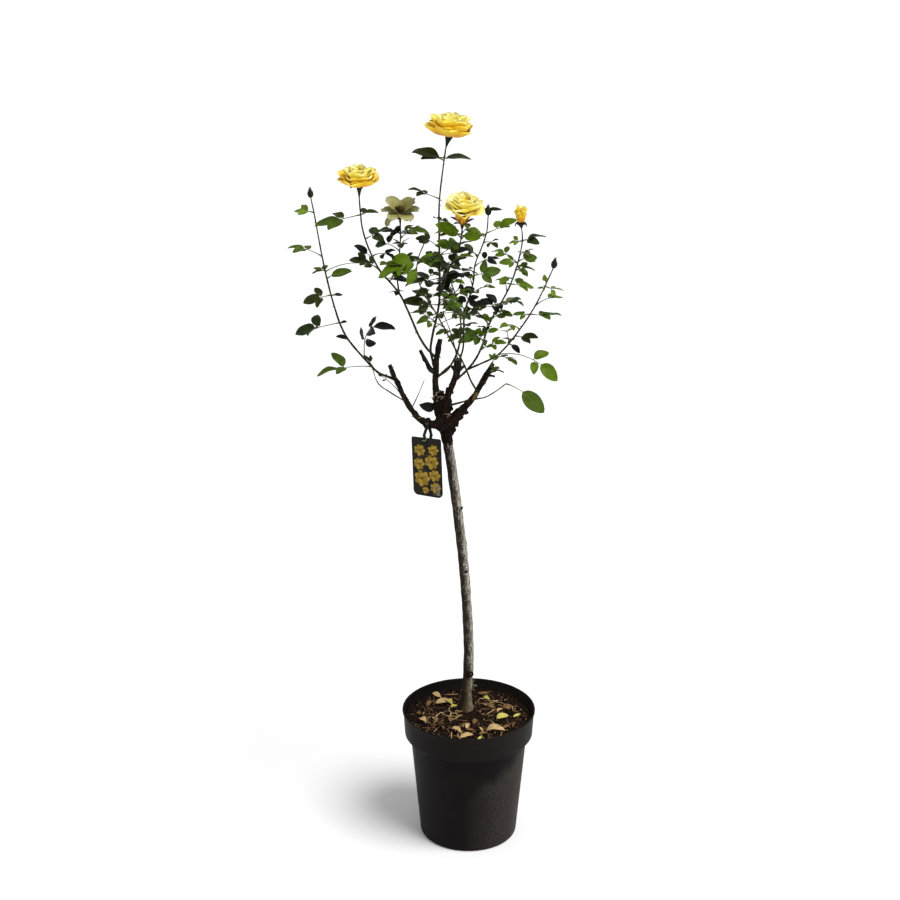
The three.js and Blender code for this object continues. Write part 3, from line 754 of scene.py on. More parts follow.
def make_scraps():
    rng = random.Random(66)
    piece = Piece()
    for place in SCRAPS:
        root = Vector(place) * MM
        for _ in range(3):
            run = [root]
            way = scatter(rng).normalized()
            for _ in range(4):
                way = (way + scatter(rng, 0.7)).normalized()
                run.append(run[-1] + way * rng.uniform(1.4, 2.6) * MM)
            tube(piece, run, [0.45 * MM] * 5, 5)
    scar = smooth_run([Vector(place) * MM for place in SCAR], 3)
    radii = [1 * MM] + [2.9 * MM] * (len(scar) - 2) + [1 * MM]
    tube(piece, scar, radii, 10, 1, rough_bark(9, 0.9 * MM, 0.4 * MM))
    tones = [mottled("dry_scrap", (148, 128, 108), 0.8),
             mottled("bark_scar", (96, 76, 46), 0.9, 0.5)]
    piece.make("bark_scraps", tones)


def on_nearest_limb(place, furthest):
    """The place moved onto the axis of the limb nearest to it, or left as it is if that is too far off."""
    nearest = min((limb.points[limb.nearest(place)] for limb in limbs.values()),
                  key=lambda point: (point - place).length)
    return nearest if (nearest - place).length < furthest else place


def make_bare_twigs():
    piece = Piece()
    for number, (places, radius) in enumerate(BARE_TWIGS):
        places = [Vector(place) * MM for place in places]
        places[0] = on_nearest_limb(places[0], 1)
        places[-1] = on_nearest_limb(places[-1], 9 * MM)
        run = smooth_run(places, 8)
        last = len(run) - 1
        radii = [radius * MM * (1 - 0.5 * k / last) for k in range(last + 1)]
        tube(piece, run, radii, 7, 0, rough_bark(number + 50, 0.4 * MM, 0.1 * MM))
    piece.make("bare_twigs", [green_stem])


def make_prickles():
    """Hooked prickles scattered up each shoot, and blunter, darker ones up each cane."""
    rng = random.Random(41)
    piece = Piece()
    for limb in limbs.values():
        cane = limb.node.endswith("_cane")
        if not cane and not limb.node.endswith("_shoot"):
            continue
        i = rng.randint(3, 8)
        while i < len(limb.points) - (2 if cane else 6):
            along = limb.along(i)
            outward = across_to(along, scatter(rng))
            base = limb.points[i] + outward * limb.radii[i] * 0.7
            tall = rng.uniform(2.2, 3.8) * MM
            droop = rng.uniform(-0.9, 0.6) if cane else -0.6
            hook = base + outward * (tall + limb.radii[i] * 0.3) + along * tall * droop
            path = [base, base.lerp(hook, 0.5) - along * tall * 0.2 * droop, hook]
            wide = 1.5 if cane else 1.1
            tube(piece, path, [wide * MM, wide * 0.5 * MM, 0.08 * MM], 5, 1 if cane else 0)
            i += rng.randint(2, 5) if cane else rng.randint(7, 16)
    piece.make("prickles", [prickle_red, cane_dark])


# ---------------------------------------------------------------- leaves
LEAF_STEPS = 13
LEAF_THICKNESS = 0.35 * MM
QUILT = 0.25 * MM                    # how far every second row of a blade's middle stands out
MIDWAY = 0.52                        # shares of a blade's half width: between rib and edge, at the edge
EDGE = 0.965                         # between two teeth, and at a tooth's point
TOOTH = 1.035
TOOTH_LEAN = 0.72                    # how far a tooth leans towards the tip, in steps
RIB_STEPS = 7


def leaflet(piece, base, direction, facing, length, width, tone, rng, veined=False, curl=1.0):
    """One toothed blade as a thin closed shell, folded a little along its midrib and bent down to its tip."""
    along = direction.normalized()
    face = across_to(along, facing)
    side = along.cross(face)
    bend = rng.uniform(0.25, 0.75) * curl
    along, face = (along * math.cos(bend / 2) + face * math.sin(bend / 2),
                   face * math.cos(bend / 2) - along * math.sin(bend / 2))
    fold = rng.uniform(0.12, 0.4) * curl
    twist = rng.uniform(-0.25, 0.25)
    wave = rng.uniform(0.01, 0.035) * length
    phase = any_angle(rng)

    def place(x, s, sunk=0.0):
        run = Vector(base) + along * (length * math.sin(bend * x) / bend)
        run -= face * (length * (1 - math.cos(bend * x)) / bend)
        half = 0.5 * width * math.sin(math.pi * x ** 0.86) ** 0.68 if 0 < x < 1 else 0.0
        y = s * half
        turn = twist * x
        lift = abs(y) * fold + wave * abs(s) * math.sin(9 * x + phase) - sunk
        run += side * (y * math.cos(turn) - lift * math.sin(turn))
        return run + face * (lift * math.cos(turn) + y * math.sin(turn))

    points = [place(0, 0), place(1, 0)]
    base_point, tip_point = 0, 1
    index = {}

    def keep(key, point):
        index[key] = len(points)
        points.append(point)

    steps = LEAF_STEPS
    for i in range(1, steps):
        x = i / steps
        quilt = QUILT if i % 2 else 0.0
        keep(("rib", 0, i), place(x, 0))
        keep(("rib", 1, i), place(x, 0, LEAF_THICKNESS))
        for hand in (-1, 1):
            keep(("mid", hand, 0, i), place(x, hand * MIDWAY, -quilt))
            keep(("mid", hand, 1, i), place(x, hand * MIDWAY, LEAF_THICKNESS - quilt))
            keep(("edge", hand, i), place(x, hand * EDGE))
            if i < steps - 1:
                keep(("tooth", hand, i), place(x + TOOTH_LEAN / steps, hand * TOOTH))
    upper = []
    under = []
    for hand in (-1, 1):
        for layer, faces in ((0, upper), (1, under)):
            def rib(i):
                return index["rib", layer, i]

            def mid(i):
                return index["mid", hand, layer, i]
            strip = [[base_point, mid(1), rib(1)], [base_point, index["edge", hand, 1], mid(1)],
                     [rib(steps - 1), mid(steps - 1), tip_point],
                     [mid(steps - 1), index["edge", hand, steps - 1], tip_point]]
            for i in range(1, steps - 1):
                edge = index["edge", hand, i]
                edge_next = index["edge", hand, i + 1]
                tooth = index["tooth", hand, i]
                strip.append([rib(i), mid(i), mid(i + 1), rib(i + 1)])
                strip.append([mid(i), edge, tooth])
                strip.append([mid(i), tooth, edge_next, mid(i + 1)])
            if (hand == 1) == (layer == 0):
                faces.extend(strip)
            else:
                faces.extend([quad[::-1] for quad in strip])
    piece.add(points, upper + under, tone[0])
    piece.finishes[-len(under):] = [tone[1]] * len(under)
    if veined or tone in RIBBED:
        shares = [k / RIB_STEPS for k in range(RIB_STEPS + 1)]
        thick = (0.55 if veined else 0.4) * MM
        tube(piece, [place(0.02 + 0.93 * share, 0, -0.1 * MM) for share in shares],
             [thick * (1 - 0.8 * share) for share in shares], 4, VEIN)
    if veined:
        for k in range(6):
            x = 0.14 + 0.12 * k
            for hand in (-1, 1):
                line = [place(x + 0.16 * t * t, hand * 0.86 * t, -0.12 * MM) for t in (0, 0.35, 0.7, 1)]
                tube(piece, line, [0.3 * MM, 0.24 * MM, 0.16 * MM, 0.06 * MM], 4, VEIN)


def leaf_spray(leaves, stalks, hold, middle, end, count, size, tone, face, rng, veined=False):
    """A compound leaf: an arching stalk through middle with a leaflet at its end and pairs behind it."""
    control = middle * 2 - (hold + end) / 2
    reach = (end - hold).length

    def at(t):
        return hold * (1 - t) ** 2 + control * (2 * t * (1 - t)) + end * t * t

    size = min(0.9 * size, 0.66 * reach) if count > 2 else min(size, 0.86 * reach)
    blade_start = 1 - size / reach
    samples = [at(blade_start * k / 7) for k in range(8)]
    tube(stalks, samples, [(1.0 - 0.06 * k) * MM for k in range(8)], 6)
    facing = UP * (1 - face) + VIEWER * face
    tip_run = end - at(blade_start)
    leaflet(leaves, at(blade_start) - tip_run * 0.02, tip_run, facing + scatter(rng, 0.25), size,
            size * rng.uniform(0.52, 0.66) * (0.86 if veined else 1), TONES[tone], rng, veined)
    hand = rng.choice((-1, 1))
    for k in range(1, count):
        pair = (k - 1) // 2
        t = blade_start * (0.84 - 0.42 * pair) - 0.03 * (k % 2)
        along = (at(min(1, t + 0.05)) - at(t)).normalized()
        normal = across_to(along, facing + scatter(rng, 0.3))
        lean = math.radians(rng.uniform(34, 72))
        out = along * math.cos(lean) + along.cross(normal) * hand * math.sin(lean)
        out += UP * rng.uniform(-0.22, 0.16)
        small = size * rng.uniform(0.66, 0.88) * (1 - 0.12 * pair)
        foot = at(t)
        tube(stalks, [foot, foot + out * 1.5 * MM, foot + out * 3 * MM], [0.6 * MM] * 3, 5)
        leaflet(leaves, foot + out * 2.5 * MM, out, normal + scatter(rng, 0.3), small,
                small * rng.uniform(0.52, 0.66), TONES[tone], rng)
        hand = -hand
    stipule = (at(0.06) - hold).normalized()
    tube(stalks, [hold, hold + stipule * 4 * MM, hold + stipule * 9 * MM],
         [1.5 * MM, 1.3 * MM, 0.9 * MM], 6)


# How each shoot's masses are leafed, in the order of their numbers: for each spray the side of the shoot,
# leaflets, leaflet length in mm, tone, and how far the blades turn from level (0) to the viewer (1).
SPRAYS = {
    "left_shoot": [
        [("left", 3, 46, "mid", 0.19)], [("right", 5, 44, "shaded_deep", 0.28)],
        [("left", 3, 44, "dark", 0.22), ("right", 1, 24, "shaded_deep", 0.11)],
        [("left", 3, 42, "olive", 0.39), ("right", 1, 24, "dark", 0.17)], [("left", 3, 26, "mid", 0.17)],
        [("left", 3, 34, "mid", 0.17)], [("left", 3, 28, "lime", 0.28)]],
    "left_bloom_shoot": [
        [("right", 3, 34, "dark", 0.17)], [("left", 3, 48, "mid", 0.3), ("right", 2, 28, "dark", 0.06)]],
    "faded_bloom_shoot": [
        [("left", 3, 30, "dark", 0.28), ("right", 5, 36, "mid", 0.17)]],
    "crossing_shoot": [
        [("left", 5, 52, "sunlit_bright", 0.3), ("right", 3, 50, "sunlit_bright", 0.24)]],
    "top_shoot": [
        [("left", 3, 38, "olive", 0.17), ("right", 5, 24, "mid", 0.28)],
        [("left", 3, 46, "dark", 0.17), ("right", 5, 42, "shaded_deep", 0.44)],
        [("left", 3, 38, "dark", 0.28), ("right", 3, 36, "shaded_deep", 0.28)],
        [("left", 3, 32, "dark", 0.17), ("right", 1, 30, "dark", 0.1)],
        [("left", 1, 50, "dark", 0.6), ("right", 1, 46, "dark", 0.1)]],
    "right_bloom_shoot": [
        [("left", 3, 44, "sunlit_bright", 0.28), ("right", 3, 42, "sunlit_bright", 0.39)]],
    "bud_shoot": [
        [("left", 3, 28, "dark", 0.28), ("right", 3, 32, "shaded_deep", 0.39)],
        [("right", 3, 48, "mid", 0.8), ("left", 1, 24, "sunlit_bright", 0.6)],
        [("right", 3, 38, "sunlit_bright", 0.22), ("left", 1, 28, "shaded_deep", 0.22)]],
    "tall_shoot": [
        [("left", 3, 42, "mid", 0.28), ("right", 3, 26, "sunlit_bright", 0.28)],
        [("left", 5, 46, "shaded_deep", 0.33), ("right", 3, 38, "painted_light_grey", 0.22)],
        [("right", 3, 36, "sunlit_bright", 0.33), ("left", 3, 30, "painted_light_grey", 0.28)],
        [("left", 3, 22, "lime", 0.22), ("right", 2, 36, "dark", 0.08)]],
    "right_shoot": [
        [("right", 3, 45, "sunlit_bright", 0.34)], [("left", 3, 26, "dark", 0.22), ("right", 3, 38, "dark", 0.28)],
        [("left", 3, 34, "mid", 0.11), ("right", 3, 42, "mid", 0.17)],
        [("left", 2, 24, "sunlit_bright", 0.33), ("right", 3, 30, "lime", 0.11)]],
    "low_twig": [
        []],
    "back_shoot": [
        [("left", 5, 38, "dark", 0.17), ("right", 3, 40, "mid", 0.22)],
        [("left", 3, 34, "mid", 0.17), ("right", 3, 36, "dark", 0.22)]],
}
# The spray that arches well over its mass's own middle, and by how much in mm.
ARCHED = {"left_shoot_leaves_2": Vector((-12, 0, 18))}
# Sprays too small for a mass of their own: limb, height, reach in mm, leaflets, length, tone, turn.
LONE_SPRAYS = [
    ("low_twig", 0.868, (70, -8, -54), 1, 52, "mid", 0.75),
    ("top_shoot", 1.236, (-40, -10, 4), 1, 30, "dark", 0.2),
    ("crossing_shoot", 1.085, (-16, -8, -28), 1, 30, "lime", 0.8),
    ("crossing_shoot", 1.078, (-62, 4, -14), 3, 34, "mid", 0.2),
    ("crossing_shoot", 1.090, (44, 0, 10), 1, 38, "sunlit_bright", 0.3),
    ("faded_bloom_shoot", 1.124, (-12, -12, -14), 1, 20, "shaded_deep", 0.7),
    ("right_bloom_shoot", 1.128, (32, -10, -2), 1, 30, "sunlit_bright", 0.8),
    ("right_bloom_shoot", 1.125, (-42, -10, 24), 1, 42, "sunlit_bright", 0.6),
    ("tall_shoot", 1.040, (-34, -6, 2), 3, 32, "sunlit_bright", 0.5),
    ("tall_shoot", 1.042, (34, 4, 6), 3, 28, "mid", 0.6),
    ("left_bloom_shoot", 1.072, (-48, -8, 16), 3, 26, "dark", 0.4),
    ("left_bloom_shoot", 1.086, (-32, -6, 26), 1, 26, "shaded_deep", 0.5),
    ("centre_cane", 0.812, (-34, -14, 14), 1, 32, "shaded_deep", 0.9),
    ("left_cane", 0.833, (-48, 18, 44), 3, 9, "dark", 0.5),
    ("right_cane", 0.872, (20, -14, 12), 3, 18, "mid", 0.5),
    ("right_cane", 0.884, (4, -6, 22), 3, 14, "lime", 0.5),
    ("tall_shoot", 0.940, (-6, -16, 28), 3, 22, "sunlit_bright", 0.4),
    ("tall_shoot", 0.905, (12, -14, 22), 3, 20, "mid", 0.5),
    ("bud_shoot", 0.930, (-20, -8, 22), 3, 24, "dark", 0.5),
    ("bud_shoot", 1.062, (-22, 0, 22), 2, 20, "dark", 0.2),
    ("left_shoot", 0.890, (-18, 6, 22), 2, 16, "dark", 0.3),
    ("left_shoot", 0.935, (-22, -8, 8), 1, 26, "shaded_deep", 0.2),
    ("left_shoot", 1.034, (44, -6, 14), 1, 38, "mid", 0.25),
    ("left_shoot", 1.045, (70, -6, 14), 1, 18, "dark", 0.3),
    ("right_shoot", 1.050, (-4, -8, 16), 1, 20, "lime", 0.6),
    ("crossing_shoot", 1.010, (-26, -6, 14), 3, 22, "dark", 0.4),
    ("top_shoot", 1.110, (34, -12, 10), 3, 32, "mid", 0.3),
    ("right_shoot", 0.935, (20, -6, -16), 1, 20, "shaded_deep", 0.3),
]


# Small sprays that fill a shoot between its masses: lowest and highest place in metres, how many, leaflet
# length in mm, tones.
FILLERS = {
    "top_shoot": (0.94, 1.13, 12, 27, ("dark", "mid", "shaded_deep", "sunlit_bright")),
    "bud_shoot": (0.92, 1.09, 10, 26, ("dark", "mid", "shaded_deep")),
    "tall_shoot": (0.90, 1.06, 11, 26, ("mid", "dark", "sunlit_bright", "painted_light_grey")),
    "right_bloom_shoot": (1.05, 1.13, 6, 28, ("mid", "dark", "sunlit_bright")),
    "crossing_shoot": (0.97, 1.10, 7, 27, ("mid", "dark", "olive")),
    "faded_bloom_shoot": (1.06, 1.12, 6, 26, ("dark", "mid")),
    "left_bloom_shoot": (1.01, 1.11, 4, 24, ("dark", "shaded_deep")),
    "right_shoot": (0.88, 1.02, 4, 22, ("mid", "dark", "sunlit_bright")),
    "back_shoot": (0.90, 1.05, 11, 30, ("dark", "mid", "shaded_deep")),
}
GOLDEN_ANGLE = math.radians(137.5)


def mass_arms(node, limb):
    """Where the shoot carries the mass, and the mass's furthest point and middle on the left and right."""
    points = [vertex.co.copy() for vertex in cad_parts[node].data.vertices]
    near = []
    for point in points:
        i = limb.nearest(point)
        if (limb.points[i] - point).length < limb.radii[i] + 1.6 * MM:
            near.append(limb.points[i])
    hold = sum(near, Vector()) / len(near)
    arms = {}
    for side, pick in (("left", min), ("right", max)):
        end = pick(points, key=lambda p: p.x)
        run = end - hold
        mid = [p for p in points if 0.35 < (p - hold).dot(run) / max(run.length_squared, 1e-9) < 0.65]
        middle = sum(mid, Vector()) / len(mid) if mid else (hold + end) / 2
        arms[side] = (hold, middle, end)
    return arms


def make_leaves():
    leaves = Piece()
    stalks = Piece()
    masses = [("%s_leaves_%d" % (shoot, k + 1), shoot, sprays)
              for shoot, rows in SPRAYS.items() for k, sprays in enumerate(rows)]
    for number, (node, shoot, sprays) in enumerate(masses):
        arms = mass_arms(node, limbs[shoot])
        rng = random.Random(500 + number)
        for side, count, size, tone, face in sprays:
            hold, middle, end = arms[side]
            middle = middle + ARCHED.get(node, Vector()) * MM
            leaf_spray(leaves, stalks, hold, middle, end, count, size * MM, tone, face, rng)
    rng = random.Random(77)
    for name, height, reach, count, size, tone, face in LONE_SPRAYS:
        limb = limbs[name]
        hold = limb.points[limb.at_height(height)]
        end = hold + Vector(reach) * MM
        middle = (hold + end) / 2 + UP * 0.1 * (end - hold).length
        veined = name == "low_twig"
        leaf_spray(leaves, stalks, hold, middle, end, count, size * MM, tone, face, rng, veined)
    for name, (lowest, highest, count, size, tones) in FILLERS.items():
        limb = limbs[name]
        bearing = any_angle(rng)
        for k in range(count):
            height = lowest + (highest - lowest) * (k + rng.uniform(0.2, 0.8)) / count
            hold = limb.points[limb.at_height(height)]
            bearing += GOLDEN_ANGLE
            reach = rng.uniform(34, 56) * MM
            end = hold + level_way(bearing) * reach
            end.y = min(end.y, cad_box[1][1] - 14 * MM)
            end.z += rng.uniform(-4, 18) * MM
            middle = (hold + end) / 2 + UP * 0.14 * reach
            leaf_spray(leaves, stalks, hold, middle, end, rng.choice((3, 3, 5)),
                       size * MM * rng.uniform(0.8, 1.2), rng.choice(tones), rng.uniform(0.05, 0.35), rng)
    leaves.make("leaves", leaf_materials, [node for node, _, _ in masses])
    stalks.make("leaf_stalks", [stalk_green])


# ---------------------------------------------------------------- blooms
PETAL_THICKNESS = 0.5 * MM
PETAL_ROWS = 14
PETAL_COLUMNS = 12
SEPALS = 5
STAMENS = 46


def outwards(axis, bearing):
    """The direction square to the axis at this bearing; 0 is to the right of the photograph, 90 degrees away
    from its viewer."""
    return Matrix.Rotation(bearing, 3, axis) @ across_to(axis, Vector((1, 0, 0)))


def petal(piece, foot, axis, bearing, angles, length, width, cup, rng, tones, lip, ruffle=1.0, back_shade=0.22):
    """A petal that leaves its foot at the first angle from the axis and reaches its lip at the second, in
    degrees. Its tone runs from the first share of the graded finishes to the second, and its outer face is
    set a little towards the golden end as painted shade."""
    out = outwards(axis, bearing)
    across = axis.cross(out)
    start, end = [math.radians(angle) for angle in angles]
    place = foot.copy()
    phase = any_angle(rng)
    skew = rng.uniform(-0.12, 0.12)
    grid = []
    normals = []
    reached = 0.0
    for i in range(PETAL_ROWS + 1):
        u = math.sin(math.pi / 2 * i / PETAL_ROWS)
        angle = start + (end - start) * u ** 1.2 + lip * max(0.0, (u - 0.66) / 0.34) ** 1.5
        forward = axis * math.cos(angle) + out * math.sin(angle)
        inward = axis * math.sin(angle) - out * math.cos(angle)
        place = place + forward * (length * (u - reached))
        reached = u
        body = min(1.0, 0.14 + u / 0.52) ** 0.75
        tip = math.sqrt(max(0.0, 1 - max(0.0, (u - 0.5) / 0.5) ** 3.4))
        half = max(0.5 * width * body * tip, 0.6 * MM)
        row = []
        row_normals = []
        for j in range(PETAL_COLUMNS + 1):
            v = 2 * j / PETAL_COLUMNS - 1
            turn = cup * v
            crest = 1.6 * math.sin(3.6 * v + phase) * u ** 3 + 0.5 * math.sin(7 * v + 2 * phase) * u ** 2
            notch = -0.06 * length * math.cos(2.5 * v + phase) * u ** 6
            spot = place + across * (half * math.sin(turn) / cup + skew * length * u * u)
            spot += inward * (half * (1 - math.cos(turn)) / cup + ruffle * crest * MM)
            row.append(spot + forward * notch)
            row_normals.append((inward * math.cos(turn) - across * math.sin(turn)).normalized())
        grid.append(row)
        normals.append(row_normals)

    def tone(power, shade_shift):
        def tone_of_row(u):
            share = tones[0] + (tones[1] - tones[0]) * u ** power - shade_shift
            return round(max(0.0, min(1.0, share)) * (PETAL_STEPS - 1))
        return tone_of_row
    # painted shade: the outer face takes a golder tone than the inner one
    shell(piece, grid, normals, PETAL_THICKNESS, tone(0.8, 0), tone(1.6, back_shade))


def rosette(piece, foot, axis, radius, whorls, rng):
    """Petals in whorls, outermost first: count, angles in degrees from the axis at the foot and at the lip,
    length and width as shares of the radius, cup, lip roll, and the tones at foot and lip."""
    turn = any_angle(rng)
    for order, (count, first, last, long, wide, cup, lip, tones) in enumerate(whorls):
        ruffle = 0.4 + 0.1 * order
        for k in range(count):
            bearing = turn + 2 * math.pi * (k + rng.uniform(-0.14, 0.14)) / count
            sway = rng.uniform(-8, 8)
            angles = (first + sway * 0.4, last + sway)
            petal(piece, foot + axis * rng.uniform(0, 1.5) * MM, axis, bearing, angles,
                  radius * long * rng.uniform(0.93, 1.06), radius * wide * rng.uniform(0.9, 1.1), cup, rng,
                  tones, lip, ruffle)
        turn += math.pi / count + 0.5


def bloom_place(node, limb_name):
    """The bloom's foot on its shoot, the way it faces, and its radius, from its CAD solid."""
    foot = limbs[limb_name].tip()
    low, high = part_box(node)
    middle = (Vector(low) + Vector(high)) / 2
    size = Vector(high) - Vector(low)
    return foot, (middle - foot).normalized(), max(size.x, size.y) / 2


def fit_to_node(piece, node, foot, lift, rise, spread=0.0):
    """Stretches the piece to its CAD solid's box, less the lift at its foot, with the rise added at its top
    and the spread all round it, and returns where the foot went."""
    low, high = [Vector(corner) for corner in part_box(node)]
    low += Vector((-spread, -spread, lift))
    high += Vector((spread, spread, rise))
    spans = [(min(values), max(values)) for values in zip(*piece.points)]

    def moved(p):
        return Vector([a + (value - least) * (b - a) / (most - least)
                       for value, a, b, (least, most) in zip(p, low, high, spans)])
    piece.points = [moved(p) for p in piece.points]
    return moved(foot)


# Whorls of a full bloom, of the loose petals that hang under one, and of a bloom that is half open. Their
# tones at foot and lip are partly the petals' own colour and partly painted light: gold for the shaded
# middles and lower petals, palest lemon for the lit top.
DOMED = [
    (5, 106, 30, 1.2, 1.35, 0.9, 0.4, (0.1, 0.85)),
    (5, 96, 20, 1.22, 1.3, 0.9, 0.4, (0.05, 0.65)),
    (5, 82, 12, 1.2, 1.15, 1.0, 0.6, (0.15, 1.0)),
    (5, 66, 4, 1.14, 1.0, 1.1, 0.8, (0.45, 1.2)),
    (5, 50, -2, 1.06, 0.84, 1.2, 0.7, (0.6, 1.15)),
    (5, 36, -4, 1.0, 0.7, 1.3, 0.6, (0.6, 1.15)),
    (5, 20, -2, 0.94, 0.54, 1.4, 0.5, (0.4, 1.0)),
]
BROAD = [
    (5, 86, 52, 1.1, 1.3, 0.8, 0.4, (0.5, 1.25)),
    (5, 74, 36, 1.08, 1.18, 0.9, 0.6, (0.6, 1.25)),
    (5, 62, 22, 1.0, 1.02, 1.0, 0.8, (0.65, 1.25)),
    (5, 48, 10, 0.92, 0.84, 1.1, 0.8, (0.6, 1.2)),
    (5, 34, 4, 0.84, 0.66, 1.3, 0.7, (0.45, 1.1)),
    (4, 18, 0, 0.74, 0.46, 1.5, 0.3, (0.1, 0.7)),
]
# Bearing, angles at foot and lip, length and width as shares of the radius.
HANGING = [(-20, 14, 70, 1.25, 0.95), (-75, 12, 66, 1.15, 0.95), (40, 14, 60, 1.2, 0.9),
           (110, 10, 50, 1.1, 0.8), (200, 8, 56, 1.1, 0.8)]
HALF_OPEN = [
    (5, 104, -46, 2.4, 1.8, 1.1, 1.9, (0.05, 0.75)),
    (5, 92, -38, 2.6, 1.7, 1.2, 1.8, (0.1, 0.85)),
    (5, 74, -28, 2.8, 1.5, 1.3, 1.6, (0.2, 1.0)),
    (5, 44, -14, 2.9, 1.2, 1.5, 1.4, (0.2, 0.9)),
]
# Each bloom: node, shoot, whorls and seed; then in mm how far the rosette stands above its hanging petals'
# foot, the lift, rise and spread of its fit to its solid, and its calyx's width and height; then the angles
# of its sepals in degrees and their length in mm.
BLOOMS = [
    ("top_bloom", "top_shoot", DOMED, 60, 0, (5, 0, 0), 16, 13, (78, 100), 15),
    ("left_bloom", "left_bloom_shoot", DOMED, 61, 0, (11, 2.5, 0), 13, 8, (78, 100), 15),
    ("right_bloom", "right_bloom_shoot", BROAD, 62, 25, (0, 3, 0), 7, 6, (40, 84), 26),
    ("opening_bud", "tall_shoot", HALF_OPEN, 73, 0, (0, 1, 3), 17, 10, (50, 176), 15),
]


def calyx(piece, limb_name, foot, axis, width, height, angles, sepal_length, rng):
    """The swollen base under a bloom, from the shoot up to the petals' foot, with five sepals."""
    limb = limbs[limb_name]
    low = limb.tip() - limb.tip_direction() * height
    thin = limb.radii[-1]
    shares = [k / 8 for k in range(9)]
    tube(piece, [low.lerp(foot, share) for share in shares],
         [thin + (width / 2 - thin) * share ** 1.4 for share in shares], 12)
    turn = any_angle(rng)
    for k in range(SEPALS):
        spread = (angles[0], angles[1] + rng.uniform(-12, 12))
        petal(piece, foot - axis * 1 * MM, axis, turn + 2 * math.pi * k / SEPALS, spread,
              sepal_length * rng.uniform(0.85, 1.15), 6 * MM, 0.5, rng, (0, 0), 0.0, 0.4, 0)


def make_blooms(calyxes):
    for node, limb_name, whorls, seed, stand, fit, width, height, angles, sepal_length in BLOOMS:
        rng = random.Random(seed)
        foot, axis, radius = bloom_place(node, limb_name)
        piece = Piece()
        rosette(piece, foot + axis * stand * MM, axis, radius, whorls, rng)
        for bearing, first, last, long, wide in HANGING if stand else ():
            petal(piece, foot, axis, math.radians(bearing), (first, last), radius * long, radius * wide, 0.9,
                  rng, (0.1, 0.75), 0.3)
        foot = fit_to_node(piece, node, foot, *[amount * MM for amount in fit])
        piece.make(node + "_petals", petal_materials, [node])
        calyx(calyxes, limb_name, foot, axis, width * MM, height * MM, angles, sepal_length * MM, rng)


# The faded bloom's petals: bearing in degrees, angles from the axis at foot and lip, length and width as
# shares of the radius.
FADED_PETALS = [(36, 38, 58, 1.3, 1.0), (4, 70, 84, 1.2, 0.8), (146, 38, 60, 1.2, 1.05),
                (182, 70, 92, 1.1, 0.7), (92, 34, 50, 0.85, 1.0), (232, 84, 100, 0.9, 0.85),
                (306, 82, 98, 1.0, 0.95), (214, 100, 172, 1.2, 0.5)]
FADED_WAY = Vector((0.1, -0.3, 1)).normalized()
FADED_RISE = 6 * MM


def make_faded_bloom(calyxes):
    rng = random.Random(71)
    foot, _, radius = bloom_place("faded_bloom", "faded_bloom_shoot")
    axis = FADED_WAY
    piece = Piece()
    for bearing, first, last, long, wide in FADED_PETALS:
        petal(piece, foot, axis, math.radians(bearing), (first, last), radius * long, radius * wide, 0.6,
              rng, (0.0, 1.15), 0.5, 2.2, 0.1)
    anther = len(faded_materials)
    for _ in range(STAMENS):
        bearing = any_angle(rng)
        lean = rng.uniform(0.5, 1.0)
        way = (axis * math.cos(lean) + outwards(axis, bearing) * math.sin(lean)).normalized()
        tall = rng.uniform(10, 14) * MM
        start = foot + axis * 2 * MM
        end = start + way * tall
        tube(piece, [start, start + way * tall * 0.5, end], [0.3 * MM] * 3, 4, anther)
        tube(piece, [end, end + way * 0.8 * MM, end + way * 1.7 * MM], [0.7 * MM, 0.9 * MM, 0.4 * MM], 5,
             anther)
    foot = fit_to_node(piece, "faded_bloom", foot, 0.0, FADED_RISE)
    piece.make("faded_bloom_petals", faded_materials + [dark_anther], ["faded_bloom"])
    calyx(calyxes, "faded_bloom_shoot", foot, axis, 8 * MM, 8 * MM, (95, 160), 13 * MM, rng)


# A closed bud's swelling from its foot to its point.
BUD_SHAPE = [0.5, 0.86, 1.0, 0.96, 0.78, 0.52, 0.26, 0.06]


def closed_bud(piece, foot, axis, radius, height):
    """A green bud wrapped in five sepals, whose tips stand a little clear of its point."""
    profile = smooth_run(BUD_SHAPE, 2)
    steps = len(profile) - 1
    middles = [foot + axis * height * k / steps for k in range(steps + 1)]
    tube(piece, middles, [radius * share for share in profile], 12)
    for number in range(SEPALS):
        grid = []
        normals = []
        for i in range(9):
            u = i / 8
            swelling = radius * profile[round(u * steps)] + (0.35 + 1.6 * max(0, u - 0.75)) * MM
            row = []
            row_normals = []
            for j in range(5):
                v = j / 2 - 1
                bearing = 2 * math.pi * number / SEPALS + v * (0.56 * (1 - u) ** 0.55 + 0.03)
                out = outwards(axis, bearing)
                row.append(foot + axis * height * (0.02 + 1.08 * u) + out * swelling)
                row_normals.append(out)
            grid.append(row)
            normals.append(row_normals)
        shell(piece, grid, normals, 0.4 * MM, lambda u: 0)


def make_buds(calyxes):
    for node, limb_name in (("left_bud", "left_shoot"), ("right_bud", "right_shoot")):
        low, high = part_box(node)
        foot = limbs[limb_name].tip()
        axis = ((Vector(low) + Vector(high)) / 2 - foot).normalized()
        closed_bud(calyxes, foot - axis * 0.5 * MM, axis, 4.8 * MM, (high[2] - low[2]) * 0.92)
    shoot = limbs["bud_shoot"]
    closed_bud(calyxes, shoot.tip(), UP, 5.2 * MM, 18 * MM)
    rng = random.Random(92)
    for bearing, length in ((0, 26), (math.pi, 12)):
        leaflet(calyxes, shoot.tip() + UP * 7 * MM, Vector((math.cos(bearing), -0.2, 0.1)),
                UP + VIEWER * 0.9, length * MM, 8 * MM, (0, 1), rng, curl=2.0)


